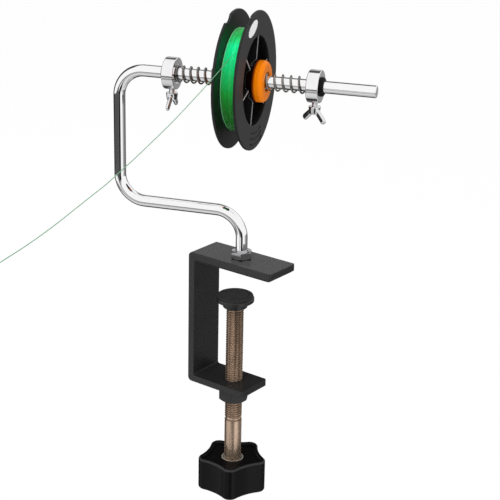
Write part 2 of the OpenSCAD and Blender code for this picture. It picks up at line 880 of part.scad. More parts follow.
// Cone that centres the spool, with its small end towards the spool's middle
module cone() {
    color([0.95, 0.5, 0.08])
        rotate_extrude()
            polygon(concat(
                [[rod_bore_radius, cone_tip_place],
                    [cone_tip_radius, cone_tip_place],
                    [cone_step_radius, cone_step_place],
                    [cone_radius, cone_step_place]],
                [for (s = [0:round_steps])
                    let (a = 90 * s / round_steps)
                    [cone_radius - cone_rounding + cone_rounding * cos(a),
                        cone_face_place - cone_rounding + cone_rounding * sin(a)]],
                [[cone_seat_diameter / 2, cone_face_place],
                    [cone_seat_diameter / 2, cone_seat_place],
                    [rod_bore_radius, cone_seat_place]]));
}

module cone_left() {
    along_spindle()
        mirror([0, 0, 1])
            cone();
}

module cone_right() {
    along_spindle()
        cone();
}

// Tube about the spindle, from one place along it to another
module spindle_tube(inner, outer, from, to) {
    rotate_extrude()
        translate([inner, from])
            square([outer - inner, to - from]);
}

// Right flange outside the drum, with the notch in its rim
module spool_flange(notch_turn) {
    difference() {
        rotate_extrude()
            polygon([
                [drum_radius, groove_half],
                [drum_radius, half_width],
                [flange_radius - flange_bevel, half_width],
                [flange_radius, half_width - flange_bevel],
                [flange_radius, groove_half + flange_bevel],
                [flange_radius - flange_bevel, groove_half]]);
        from_top(notch_turn)
            translate([flange_radius - notch_depth + notch_radius, 0, groove_half - overrun])
                cylinder(r = notch_radius, h = flange_thickness + 2 * overrun);
    }
}

module spool_flange_left() {
    color([0.22, 0.22, 0.23])
        along_spindle()
            mirror([0, 0, 1])
                spool_flange(notch_left_turn);
}

// Right flange, with curved grooves where the moulded words stand
module spool_flange_right() {
    color([0.22, 0.22, 0.23])
        along_spindle()
            difference() {
                spool_flange(notch_right_turn);
                for (i = [1:groove_count])
                    rotate([0, 0, -groove_angle / 2])
                        rotate_extrude(angle = groove_angle)
                            translate([drum_radius + i * groove_land - groove_width / 2,
                                    half_width - groove_depth])
                                square([groove_width, groove_depth + overrun]);
            }
}

// Drum that the line is wound on, open at both ends
module spool_drum() {
    color([0.22, 0.22, 0.23])
        along_spindle()
            spindle_tube(window_radius, drum_radius, -half_width, half_width);
}

// Disc that joins drum and hub
module spool_web() {
    color([0.22, 0.22, 0.23])
        along_spindle()
            spindle_tube(hub_radius, window_radius, -web_half, web_half);
}

// Hub that the cones' tapers stand in
module spool_hub() {
    color([0.22, 0.22, 0.23])
        along_spindle()
            spindle_tube(hub_bore_radius, hub_radius, -hub_half, hub_half);
}

// One rib on the right side, along +X, still too long at both ends
module rib() {
    sink = drum_wall / 2;
    translate([0, rib_thickness / 2, 0])
        rotate([90, 0, 0])
            linear_extrude(height = rib_thickness)
                polygon([
                    [hub_radius - sink, web_half],
                    [window_radius + sink, web_half],
                    [window_radius + sink, rib_edge],
                    [rib_fall_radius, rib_edge],
                    [hub_radius - sink, rib_foot - sink]]);
}

// Ribs on both faces of the web, cut to the space between hub and drum
module spool_ribs() {
    color([0.22, 0.22, 0.23])
        along_spindle()
            intersection() {
                for (i = [0:rib_count - 1])
                    from_top(rib_turn + i * 360 / rib_count) {
                        rib();
                        mirror([0, 0, 1])
                            rib();
                    }
                spindle_tube(hub_radius, window_radius, -half_width, half_width);
            }
}

// Blank oval label on the right flange
module spool_label() {
    color([0.97, 0.97, 0.97])
        along_spindle()
            from_top(label_turn)
                translate([label_radius, 0, half_width])
                    rotate([0, 0, -label_tilt])
                        linear_extrude(height = label_thickness)
                            polygon([for (i = [0:label_points - 1])
                                let (a = 360 * i / label_points)
                                [label_height / 2 * cos(a), label_length / 2 * sin(a)]]);
}

// Line already on the drum, under the outer layer
module line_core() {
    core_half = groove_half - rest_gap / 2;
    color([0.1, 0.65, 0.3])
        along_spindle()
            translate([0, 0, -core_half])
                difference() {
                    cylinder(r = wound_radius, h = 2 * core_half);
                    translate([0, 0, -overrun])
                        cylinder(r = drum_radius, h = 2 * core_half + 2 * overrun);
                }
}

// Outer layer of line
module line_turns() {
    color([0.1, 0.75, 0.4])
        along_spindle()
            tube(turns_path, line_diameter, wire_sides);
}

// Free stretch of line
module line_lead() {
    color([0.3, 0.75, 0.4])
        tube(lead_path, line_diameter, lead_sides);
}

// Small tied loop at the end of the line
module line_loop() {
    along = heading(lead_path, len(lead_path) - 1);
    color([0.3, 0.75, 0.4])
        translate(lead_route[lead_last])
            rotate([0, 0, atan2(along[1], along[0])])
                rotate([0, -asin(along[2]), 0]) {
                    sphere(d = knot_diameter);
                    translate([loop_diameter / 2, 0, 0])
                        rotate_extrude()
                            translate([loop_diameter / 2, 0])
                                circle(d = line_diameter, $fn = rod_facets);
                }
}

clamp_frame();
jaw_pad();
screw_nut();
clamp_screw();
pressure_plate();
plate_pad();
knob();
knob_insert();
arm_rod();
lock_nut();
collar_left();
collar_right();
bushing_left();
bushing_right();
wing_screw_left();
wing_screw_right();
spring_left();
spring_right();
cone_left();
cone_right();
spool_flange_left();
spool_flange_right();
spool_drum();
spool_web();
spool_hub();
spool_ribs();
spool_label();
line_core();
line_turns();
line_lead();
line_loop();
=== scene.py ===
from contextlib import contextmanager
from math import atan2, ceil, copysign, cos, pi, radians, sin, sqrt, tan

import bmesh
import bpy
from mathutils import Matrix, Vector


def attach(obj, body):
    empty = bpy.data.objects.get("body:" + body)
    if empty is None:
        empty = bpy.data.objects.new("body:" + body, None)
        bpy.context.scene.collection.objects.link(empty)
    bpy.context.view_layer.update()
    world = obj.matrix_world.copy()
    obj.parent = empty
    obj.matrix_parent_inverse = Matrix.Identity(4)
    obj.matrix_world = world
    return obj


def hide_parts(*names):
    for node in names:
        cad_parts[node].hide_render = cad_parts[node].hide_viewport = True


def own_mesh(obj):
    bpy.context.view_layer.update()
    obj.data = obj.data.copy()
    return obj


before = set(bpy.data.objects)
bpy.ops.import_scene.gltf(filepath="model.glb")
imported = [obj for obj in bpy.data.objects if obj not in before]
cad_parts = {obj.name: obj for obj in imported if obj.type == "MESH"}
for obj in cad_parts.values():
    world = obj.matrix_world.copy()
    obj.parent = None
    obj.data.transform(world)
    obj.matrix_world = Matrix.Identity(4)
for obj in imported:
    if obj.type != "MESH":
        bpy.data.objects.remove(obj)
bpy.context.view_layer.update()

# Lengths are millimetres, as in the part's own source, and MM turns them to metres.
# The camera, stage and lights are given in metres.
MM = 0.001
TINY = 1e-6

# Sizes

BAR_WIDTH, BAR_THICKNESS = 28, 5
BAR_INSIDE_RADIUS, BAR_OUTSIDE_RADIUS, BAR_CORNER_RADIUS, BAR_EDGE = 1.5, 3, 1.5, 0.45
HOLE_CHAMFER = 0.3
JAW_LENGTH, LOWER_ARM_LENGTH, MOUTH_HEIGHT = 69, 48, 85
JAW_PAD = 1
SPINE_BACK = -JAW_LENGTH / 2
SPINE_FRONT = SPINE_BACK + BAR_THICKNESS
JAW_TOP = JAW_PAD + BAR_THICKNESS
LOWER_ARM_BOTTOM = -MOUTH_HEIGHT - BAR_THICKNESS
SCREW_X = -4.5
BOARD = 22

SCREW_RADIUS, THREAD_DEPTH, PITCH = 6, 0.7, 1.75
FACE_GAP, CLEARANCE = 0.1, 0.05
SCREW_BORE = SCREW_RADIUS + CLEARANCE
SCREW_LENGTH, SHANK_LENGTH = 113, 28
PLATE_PAD, PLATE_DISC, SOCKET_DEPTH = 1.5, 3, 4.5
PLATE_RADIUS, SOCKET_RADIUS = 13, 8.5
PLATE_TOP = -BOARD - PLATE_PAD
PLATE_BOTTOM = PLATE_TOP - PLATE_DISC - SOCKET_DEPTH
SCREW_TOP = PLATE_BOTTOM - FACE_GAP
KNOB_TOP = SCREW_TOP - SCREW_LENGTH
KNOB_HEIGHT = 24
# How far the floor lies under the knob, more than the screw's way down
SCREW_DROP = 54
KNOB_BOTTOM = KNOB_TOP - KNOB_HEIGHT
KNOB_RADIUS, LOBE_RADIUS, VALLEY_RADIUS, LOBES = 24.5, 6, 19.5, 5
KNOB_TURN = -57
KNOB_EDGE, RECESS_RIM, RECESS_DEPTH = 1.7, 2.9, 1.7
INSERT_RADIUS, INSERT_SINK, INSERT_DEPTH = 8, 1.8, 14.4
INSERT_FOOT, SHANK_END = KNOB_TOP - INSERT_DEPTH, KNOB_TOP - INSERT_DEPTH * 0.8
# The screw's swaged end inside the plate's socket
SWAGE_NECK, SWAGE_HEAD = SCREW_RADIUS * 0.6, SCREW_RADIUS * 0.8
SWAGE_LOW = SCREW_TOP + (PLATE_DISC + SOCKET_DEPTH) * 0.4
SWAGE_TOP = SCREW_TOP + (PLATE_DISC + SOCKET_DEPTH) * 0.7
SCREW_NUT_FLATS, SCREW_NUT_HEIGHT = 19, 10

ROD_RADIUS, BEND_RADIUS = 4, 18
BORE = ROD_RADIUS + CLEARANCE
LOWER_RUN_Z, SPINDLE_Z = 38, 128
REACH = 87
ARM_YAW = 20
ROD_BEVEL = 0.8
LOCK_NUT_FLATS, LOCK_NUT_HEIGHT, LOCK_NUT_TURN = 13, 5, 3

COLLAR_RADIUS, COLLAR_WIDTH, COLLAR_SEAT = 10.5, 8, 1.9
LEFT_PLACE, RIGHT_PLACE = 45.8, 43
BUSHING_RADIUS, BUSHING_STAND = 6.25, 2.2
WING_SCREW_RADIUS = 2
WING_HUB_RADIUS, WING_HUB_HEIGHT, WING_NECK = 4, 5.2, 2.3
WING_SPAN, WING_RISE, WING_WIDTH, WING_THICKNESS = 20, 10.6, 4.4, 2.6
WING_LEFT_TURN, WING_RIGHT_TURN = 90, 30
WING_FOOT, WING_PITCH = COLLAR_RADIUS + WING_NECK, 0.7

SPRING_DIAMETER, SPRING_WIRE, END_PITCH = 11.5, 1.2, 1.75
SPRING_LIFT = SPRING_WIRE / 2 + 0.1
LEFT_COILS, LEFT_START, RIGHT_COILS, RIGHT_START = 8.3, 282, 7.25, 143
CONE_RADIUS, CONE_FACE, CONE_RIM, CONE_ROUNDING = 13.5, 15.2, 6.7, 3
CONE_TIP, CONE_ANGLE, CONE_SEAT_DEPTH, CONE_SEAT_RADIUS = 1.5, 38, 3.6, 6.4
CONE_SEAT = CONE_FACE - CONE_SEAT_DEPTH
CONE_STEP, CONE_STEP_RADIUS = CONE_FACE - CONE_RIM, CONE_RADIUS * 0.9
CONE_SLOPE = tan(radians(CONE_ANGLE))

FLANGE_RADIUS, HALF_WIDTH, FLANGE, FLANGE_BEVEL = 45, 8, 1.8, 0.4
WINDOW_RADIUS, DRUM_WALL, WEB, HUB_HALF, HUB_WALL = 28.9, 1.6, 1.6, 3.7, 1.6
GROOVE_HALF = HALF_WIDTH - FLANGE
DRUM_RADIUS = WINDOW_RADIUS + DRUM_WALL
HUB_BORE = CONE_STEP_RADIUS - (CONE_STEP - HUB_HALF) * CONE_SLOPE + FACE_GAP
HUB_RADIUS = HUB_BORE + HUB_WALL
RIBS, RIB_THICKNESS, RIB_RECESS, RIB_TURN = 6, 1.1, 1.3, -13
# The ribs' crests are level near the drum and fall at 45 degrees to the hub
RIB_EDGE, RIB_FOOT = HALF_WIDTH - RIB_RECESS, HUB_HALF - RIB_RECESS / 2
RIB_FALL = HUB_RADIUS + RIB_EDGE - RIB_FOOT
NOTCH_RADIUS, NOTCH_DEPTH, NOTCH_LIP = 8, 2.7, 0.35
GROOVES, GROOVE_RADIUS, GROOVE_SPREAD = 3, 0.7, 18
NOTCH_LEFT_TURN, NOTCH_RIGHT_TURN = 20, 21
LABEL_LENGTH, LABEL_HEIGHT, LABEL_THICKNESS, LABEL_TURN, LABEL_TILT = 19, 7.8, 0.25, 16, -2
LINE = 0.5
WOUND_RADIUS, WOUND_TURNS = 32.6, 24

LOOP_RADIUS, KNOT_WRAPS, KNOT_RADIUS, KNOT_LENGTH = 3.5, 4, 0.62, 2.0
# Route of the free line, from the winding to its end
LEAD_ROUTE = [
    (10, -13.5, 158), (11.5, -28, 150.5), (13, -42.5, 143.5), (14.5, -57, 137),
    (16, -71.5, 131), (17.5, -86, 125), (19, -100.5, 119.5), (20.5, -115, 114.5),
    (22, -129.5, 109.5), (23.5, -144, 105), (25, -158.5, 100.5), (26.5, -173, 97),
    (28, -187.5, 93.5), (29.5, -202, 90), (31, -216.5, 87), (32.5, -231, 84.5),
    (34, -245.5, 82.5), (35.5, -260, 80.5)]

# Camera

LENS, SENSOR = 102.943, 36
CAMERA_PLACE = (0.54579, -0.71757, 0.34170)
CAMERA_RIGHT = Vector((0.79513, 0.60610, 0.02014))
CAMERA_DOWN = Vector((0.22362, -0.26216, -0.93876))
CAMERA_FORWARD = Vector((-0.56370, 0.75094, -0.34399))


def add_object(name, data):
    obj = bpy.data.objects.new(name, data)
    bpy.context.collection.objects.link(obj)
    return obj


def make_camera():
    data = bpy.data.cameras.new("camera")
    data.lens, data.sensor_width = LENS, SENSOR
    data.clip_start, data.clip_end = 0.01, 50
    camera = add_object("camera", data)
    turn = Matrix((CAMERA_RIGHT, -CAMERA_DOWN, -CAMERA_FORWARD)).transposed().to_4x4()
    camera.matrix_world = Matrix.Translation(CAMERA_PLACE) @ turn
    bpy.context.scene.camera = camera


make_camera()

# Places


def turned(angle, axis="Z"):
    return Matrix.Rotation(radians(angle), 4, axis)


def moved(x=0.0, y=0.0, z=0.0):
    return Matrix.Translation((x, y, z))


YAW = radians(ARM_YAW)
ALONG = Vector((cos(YAW), sin(YAW), 0))
SIDE = Vector((-sin(YAW), cos(YAW), 0))
UP, DOWN = Vector((0, 0, 1)), Vector((0, 0, -1))
# Spindle frame: Z along the spindle, X down
SPINDLE = moved(z=SPINDLE_Z) @ Matrix((DOWN, SIDE, ALONG)).transposed().to_4x4()
ARM = turned(ARM_YAW)
SCREW = moved(SCREW_X)
MIRROR = Matrix.Scale(-1, 4, (0, 0, 1))


def from_top(angle):
    """Turn about the spindle from the top towards the front."""
    return turned(180 + angle)


def at_collar(right):
    """Frame of a collar, with Z from the spool outwards."""
    return SPINDLE @ (moved(z=RIGHT_PLACE) if right else MIRROR @ moved(z=LEFT_PLACE))


# Outlines


def polar(radius, angle):
    return radius * cos(angle), radius * sin(angle)


def circle(count, radius=1):
    return [polar(radius, 2 * pi * i / count) for i in range(count)]


def arc(x, y, radius, angles):
    return [(x + dx, y + dy) for dx, dy in (polar(radius, angle) for angle in angles)]


def shares(count):
    return [i / count for i in range(count + 1)]


def quarter_round(radius, steps=6):
    """How far a rounded edge lies in from its side and from its face, step by step."""
    angles = (radians(90 * s) for s in shares(steps))
    return [(radius * (1 - sin(a)), radius * (1 - cos(a))) for a in angles]


def rounded(corners, steps=5):
    """Outline whose corners (x, y, radius) are turned to arcs."""
    out = []
    for i, (x, y, radius) in enumerate(corners):
        here = Vector((x, y))
        if radius < TINY:
            out.append(here)
            continue
        back = (Vector(corners[i - 1][:2]) - here).normalized()
        on = (Vector(corners[(i + 1) % len(corners)][:2]) - here).normalized()
        half = back.angle(on) / 2
        centre = here + (back + on).normalized() * radius / sin(half)
        start = here + back * radius / tan(half) - centre
        end = here + on * radius / tan(half) - centre
        sweep = pi - 2 * half
        for t in shares(steps):
            out.append(centre + (start * sin((1 - t) * sweep) + end * sin(t * sweep)) / sin(sweep))
    return [(p.x, p.y) for p in out]


def mirrored(profile):
    """Profile of (radius, height, ...) points that comes back down its mirrored half."""
    return profile + [(r, -z, *rest) for r, z, *rest in profile[::-1]]


def turned_row(verts, radius, z, count):
    """Adds a circle of points, or a single one on the axis, and gives their numbers."""
    first = len(verts)
    if radius < TINY:
        verts.append((0, 0, z))
        return [first] * count
    verts += [(x, y, z) for x, y in circle(count, radius)]
    return [first + i for i in range(count)]


def skin(faces, rows):
    """Adds the faces between neighbouring rows of points."""
    for a, b in zip(rows, rows[1:]):
        for i in range(len(a)):
            j = (i + 1) % len(a)
            face = list(dict.fromkeys((a[i], a[j], b[j], b[i])))
            if len(face) > 2:
                faces.append(face)


def lathe(profile, count=96):
    """Closed surface turned about Z from a closed outline of (radius, height) points."""
    verts, faces = [], []
    rows = [turned_row(verts, radius, z, count) for radius, z in profile]
    skin(faces, rows + rows[:1])
    return verts, faces


def numbered(rings):
    """Points of equal rings, and each ring's numbers."""
    count = len(rings[0])
    rows = [list(range(k * count, (k + 1) * count)) for k in range(len(rings))]
    return [tuple(p) for ring in rings for p in ring], rows


def prism(rings):
    """Closed solid through equal rings of 3-D points, capped at both ends."""
    verts, rows = numbered(rings)
    faces = []
    skin(faces, rows)
    return verts, faces + [rows[0][::-1], rows[-1]]


def slab(outline, half):
    """Upright slab across Y from an outline in X and Z."""
    return prism([[(x, y, z) for x, z in outline] for y in (-half, half)])


def straight(outline, low, high):
    return prism([[(x, y, low) for x, y in outline], [(x, y, high) for x, y in outline]])


def inset(outline, depth):
    """Outline moved in along its own normals; the outline runs anticlockwise."""
    out = []
    for i, (x, y) in enumerate(outline):
        a, b = outline[i - 1], outline[(i + 1) % len(outline)]
        along = Vector((b[0] - a[0], b[1] - a[1])).normalized()
        out.append((x - along.y * depth, y + along.x * depth))
    return out


def edged(outline, low, high, radius, steps=6):
    """Straight solid whose two faces are rounded off at their rims."""
    bends = quarter_round(radius, steps)
    levels = [(depth, low + rise) for depth, rise in bends]
    levels += [(depth, high - rise) for depth, rise in bends[::-1]]
    return prism([[(x, y, z) for x, y in inset(outline, depth)] for depth, z in levels])


def tube(path, radii, sides, closed=False):
    """Round tube along 3-D points; a frame is carried along without twist."""
    path = [Vector(p) for p in path]
    if not isinstance(radii, list):
        radii = [radii] * len(path)
    on = path[1:] + (path[:1] if closed else path[-1:])
    back = (path[-1:] if closed else path[:1]) + path[:-1]
    across, rings = None, []
    for here, before, after, radius in zip(path, back, on, radii):
        along = (after - before).normalized()
        if across is None:
            across = along.cross(UP if abs(along.z) < 0.9 else ALONG).normalized()
        across = (across - along * across.dot(along)).normalized()
        other = along.cross(across)
        rings.append([here + radius * (across * x + other * y) for x, y in circle(sides)])
    if not closed:
        return prism(rings)
    # The last ring is joined to the first from the point that lies nearest to its start
    start = min(range(sides), key=lambda k: (rings[-1][k] - rings[0][0]).length)
    verts, rows = numbered(rings)
    faces = []
    skin(faces, rows)
    skin(faces, [rows[-1][start:] + rows[-1][:start], rows[0]])
    return verts, faces


# Objects


@contextmanager
def edited(mesh):
    """Editable copy of a mesh, which is written back at the end."""
    bm = bmesh.new()
    bm.from_mesh(mesh)
    yield bm
    bm.to_mesh(mesh)
    bm.free()


def build(name, parts, matrix=Matrix.Identity(4), sharp=32):
    """Mesh object from (vertices, faces) parts in millimetres, placed by a matrix."""
    mesh = bpy.data.meshes.new(name)
    with edited(mesh) as bm:
        for verts, faces in parts:
            made = [bm.verts.new((matrix @ Vector(v)) * MM) for v in verts]
            for face in faces:
                bm.faces.new([made[i] for i in face])
        bmesh.ops.remove_doubles(bm, verts=bm.verts, dist=TINY)
        bmesh.ops.recalc_face_normals(bm, faces=bm.faces)
    obj = add_object(name, mesh)
    smooth(obj, sharp)
    return obj


def smooth(obj, sharp=32):
    """Smooth shading, with edges past an angle kept sharp."""
    with edited(obj.data) as bm:
        for face in bm.faces:
            face.smooth = True
        for edge in bm.edges:
            edge.smooth = not (len(edge.link_faces) == 2 and edge.calc_face_angle(0) > radians(sharp))


def settle(obj):
    """Applies every modifier to the mesh."""
    bpy.context.view_layer.update()
    graph = bpy.context.evaluated_depsgraph_get()
    graph.update()
    mesh = bpy.data.meshes.new_from_object(obj.evaluated_get(graph))
    old = obj.data
    obj.modifiers.clear()
    obj.data = mesh
    bpy.data.meshes.remove(old)


def combine(obj, tools, operation="DIFFERENCE"):
    """Exact boolean of an object with tool objects, which are used up."""
    for tool in tools:
        step = obj.modifiers.new("combine", "BOOLEAN")
        step.operation, step.solver, step.object = operation, "EXACT", tool
    settle(obj)
    for tool in tools:
        bpy.data.objects.remove(tool)
    smooth(obj)
    return obj


def bevel(obj, width, segments=3, angle=35):
    step = obj.modifiers.new("bevel", "BEVEL")
    step.width, step.segments = width * MM, segments
    step.limit_method, step.angle_limit = "ANGLE", radians(angle)
    settle(obj)
    smooth(obj)


def finish_piece(obj, slot, body, *nodes):
    """Material, slot and body of a piece, and the nodes that it stands for."""
    obj.data.materials.clear()
    obj.data.materials.append(MATERIALS[slot])
    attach(obj, body)
    if nodes:
        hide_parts(*nodes)
    if slot not in ("rod_chrome", "spring_steel", "wing_metal", "line_nylon"):
        # Flat faces keep their own normals beside rounded edges
        obj.modifiers.new("flat", "WEIGHTED_NORMAL").keep_sharp = True


# Materials


class Nodes:
    """Short calls that make and join the nodes of a material or of the world."""

    def __init__(self, owner):
        owner.use_nodes = True
        self.owner, self.tree = owner, owner.node_tree

    def feed(self, socket, value):
        """Joins an output to a socket, or gives the socket its value."""
        if isinstance(value, bpy.types.NodeSocket):
            self.tree.links.new(value, socket)
        else:
            socket.default_value = (*value, 1) if socket.type == "RGBA" else value

    def fill(self, node, inputs):
        for key, value in inputs.items():
            self.feed(node.inputs[key], value)
        return node

    def add(self, kind, inputs=None, **values):
        node = self.tree.nodes.new("ShaderNode" + kind)
        for key, value in values.items():
            setattr(node, key, value)
        return self.fill(node, inputs or {})

    def noise(self, scale, detail=3.0, where=None):
        return self.add("TexNoise", {"Vector": where or self.place, "Scale": scale, "Detail": detail,
                                     "Roughness": 0.55}).outputs["Fac"]

    def ramp(self, value, stops):
        node = self.add("ValToRGB", {"Fac": value})
        elements = node.color_ramp.elements
        while len(elements) < len(stops):
            elements.new(0.5)
        for element, (place, colour) in zip(elements, stops):
            element.position, element.color = place, (*colour, 1)
        return node.outputs["Color"]

    def span(self, value, low, high, start=0.3, end=0.7, kind="LINEAR"):
        """Maps a value from one span, by default a noise's, to another."""
        return self.add("MapRange", {"Value": value, "From Min": start, "From Max": end, "To Min": low,
                                     "To Max": high}, interpolation_type=kind).outputs["Result"]

    def between(self, value, low, high, soft=0.0001, kind="LINEAR"):
        """One inside a span, fading to zero over a soft edge."""
        return self.times(self.span(value, 0, 1, low - soft, low + soft, kind),
                          self.span(value, 1, 0, high - soft, high + soft, kind))

    def bump(self, height, strength, distance, **under):
        return self.add("Bump", {"Height": height, "Strength": strength, "Distance": distance,
                                 **under}).outputs["Normal"]

    def vector(self, operation, a, b, out="Value"):
        return self.add("VectorMath", {0: a, 1: b}, operation=operation).outputs[out]

    def off_spindle(self):
        """Place measured from the middle of the spindle."""
        return self.vector("SUBTRACT", self.place, (0, 0, SPINDLE_Z * MM), "Vector")

    def length(self, vector):
        return self.vector("LENGTH", vector, (0, 0, 0))

    def out(self, off):
        """Distance along the spindle from its middle, to either side."""
        return self.maths("ABSOLUTE", self.vector("DOT_PRODUCT", off, ALONG))

    def maths(self, operation, a, b=0.0, c=0.0):
        return self.add("Math", {0: a, 1: b, 2: c}, operation=operation).outputs[0]

    def times(self, a, b):
        return self.maths("MULTIPLY", a, b)

    def mix(self, share, a, b, blend="MIX"):
        node = self.add("Mix", data_type="RGBA", blend_type=blend)
        for name, value in (("Factor", share), ("A", a), ("B", b)):
            self.feed(next(i for i in node.inputs if i.name == name and i.enabled), value)
        return next(o for o in node.outputs if o.enabled)

    def blend(self, share, a, b):
        """Mix of two shaders."""
        return self.add("MixShader", {0: share, 1: a.outputs[0], 2: b.outputs[0]})

    def colour(self, value):
        """Sets the base colour, keeping the cloudy variation that was there."""
        base = self.shader.inputs["Base Color"]
        self.feed(base, self.mix(1.0, value, base.links[0].from_socket, "MULTIPLY"))

    def relief(self, *values):
        """Adds a relief over the fine one."""
        self.feed(self.shader.inputs["Normal"], self.bump(*values, Normal=self.normal))


def shade(colour, share):
    return tuple(min(1.0, c * share) for c in colour)


MATERIALS = {}


def surface(name, colour, rough, metallic=0.0, variation=0.12, scale=60, grain=900, relief=0.02,
            relief_depth=0.00005, shine=0.5):
    """Finish with a cloudy colour, uneven roughness and a fine relief, kept under its slot's name."""
    n = Nodes(bpy.data.materials.new(name))
    MATERIALS[name] = n.owner
    n.shader = n.tree.nodes["Principled BSDF"]
    n.place = n.add("TexCoord").outputs["Object"]
    tones = [(0.3, shade(colour, 1 - variation)), (0.7, shade(colour, 1 + variation))]
    fine = n.noise(grain, 2)
    n.normal = n.bump(fine, relief, relief_depth)
    n.fill(n.shader, {"Base Color": n.ramp(n.noise(scale, 4), tones), "Roughness": n.span(fine, *rough),
                      "Normal": n.normal, "Metallic": metallic, "Specular IOR Level": shine})
    return n


def make_materials():
    surface("clamp_coat", (0.0165, 0.0163, 0.0170), (0.24, 0.34), scale=45, grain=1400, relief=0.35,
            relief_depth=0.00004, shine=0.4)
    surface("pad_rubber", (0.012, 0.012, 0.012), (0.65, 0.85), scale=150, grain=2200, relief=0.5)
    # The screw's warm tint is partly a painted reflection of brown surroundings
    streaked_bar_with_painted_reflection("screw_zinc", (0.68, 0.50, 0.37), (0.18, 0.30))
    # The knob's lighter second colour is a painted highlight along its top edge
    painted_edge_highlight("knob_plastic", (0.003, 0.003, 0.0033), (0.034, 0.034, 0.036))
    surface("insert_metal", (0.70, 0.67, 0.62), (0.18, 0.28), 0.7, scale=90)
    surface("rod_chrome", (0.92, 0.92, 0.93), (0.04, 0.07), 1.0, variation=0.03, scale=40, grain=300,
            relief=0.01)
    surface("nut_metal", (0.43, 0.43, 0.44), (0.14, 0.22), 1.0, variation=0.05, scale=160, grain=700,
            relief=0.06)
    turned_metal("collar_chrome", (0.88, 0.88, 0.89), (0.07, 0.13))
    surface("bushing_plastic", (0.003, 0.003, 0.003), (0.40, 0.55), scale=90, grain=1200, relief=0.1,
            shine=0.12)
    surface("wing_metal", (0.84, 0.84, 0.85), (0.08, 0.16), 1.0, variation=0.06, scale=220, grain=500,
            relief=0.15)
    surface("spring_steel", (0.30, 0.29, 0.275), (0.10, 0.18), 1.0, variation=0.06, scale=300, grain=1500,
            relief=0.05)
    orange_with_painted_shade("cone_plastic")
    moulded_with_painted_shade("spool_plastic")
    surface("label_paper", (0.97, 0.97, 0.97), (0.42, 0.55), variation=0.02, scale=260, grain=2500,
            relief=0.2)
    nylon("line_nylon")


def streaked_bar_with_painted_reflection(name, colour, rough):
    """Plated metal with long streaks along the bar: faint drawing marks in its relief, and darker bands in
    its colour that are a painted reflection.
    """
    n = surface(name, colour, rough, 0.78, scale=70, grain=600, relief=0.05)
    along = n.add("Mapping", {"Vector": n.place, "Scale": (500, 500, 12)}).outputs["Vector"]
    streaks_and_reflected_bands = n.noise(1, 3, along)
    n.relief(streaks_and_reflected_bands, 0.2, 0.00006)
    # Painted reflection: the streaks darken the colour in bands along the bar
    n.colour(n.ramp(streaks_and_reflected_bands, [(0.38, (0.42, 0.40, 0.38)), (0.5, (0.92, 0.92, 0.92)), (0.64, (1, 1, 1))]))


def painted_edge_highlight(name, plain, painted_highlight):
    """Knob's black plastic, with a painted highlight along its rounded top edge."""
    n = surface(name, (1, 1, 1), (0.20, 0.30), relief=0.12, shine=0.16)
    height = n.vector("DOT_PRODUCT", n.place, (0, 0, 1))
    # Painted highlight: a band on the rounded top edge is drawn lighter
    edge = n.times(n.span(height, 0, 1, (KNOB_TOP - 1.6) * MM, (KNOB_TOP - 1.1) * MM),
                   n.span(height, 1, 0, (KNOB_TOP - 0.3) * MM, (KNOB_TOP - 0.03) * MM))
    n.colour(n.mix(edge, plain, painted_highlight))


def turned_metal(name, colour, rough):
    """Plated metal with the fine rings that a lathe leaves round the spindle."""
    n = surface(name, colour, rough, 1.0, variation=0.04, scale=70, grain=800)
    off = n.off_spindle()
    # This sum is constant along each turned ring, on the rim as on the end faces
    run = n.maths("ADD", n.vector("DOT_PRODUCT", off, ALONG), n.length(off))
    rings = n.add("TexNoise", {"W": run, "Scale": 5500, "Detail": 2}, noise_dimensions="1D")
    n.relief(rings.outputs["Fac"], 0.12, 0.00002)


def orange_with_painted_shade(name):
    """Orange plastic, with painted shade that darkens its taper and the inner edge of its rim."""
    n = surface(name, (1, 1, 1), (0.30, 0.40), variation=0.06, scale=80, grain=1100, relief=0.12,
                shine=0.10)
    step = CONE_STEP * MM
    # Painted shade: near black on the taper, brightening to orange across the rim
    n.colour(n.ramp(n.span(n.out(n.off_spindle()), 0, 1, step - 0.0002, step + 0.0022),
                    [(0.0, (0.020, 0.004, 0.002)), (0.12, (0.10, 0.013, 0.001)), (0.5, (0.26, 0.042, 0.001)),
                     (0.75, (0.84, 0.19, 0.0)), (1.0, (1.0, 0.245, 0.0))]))


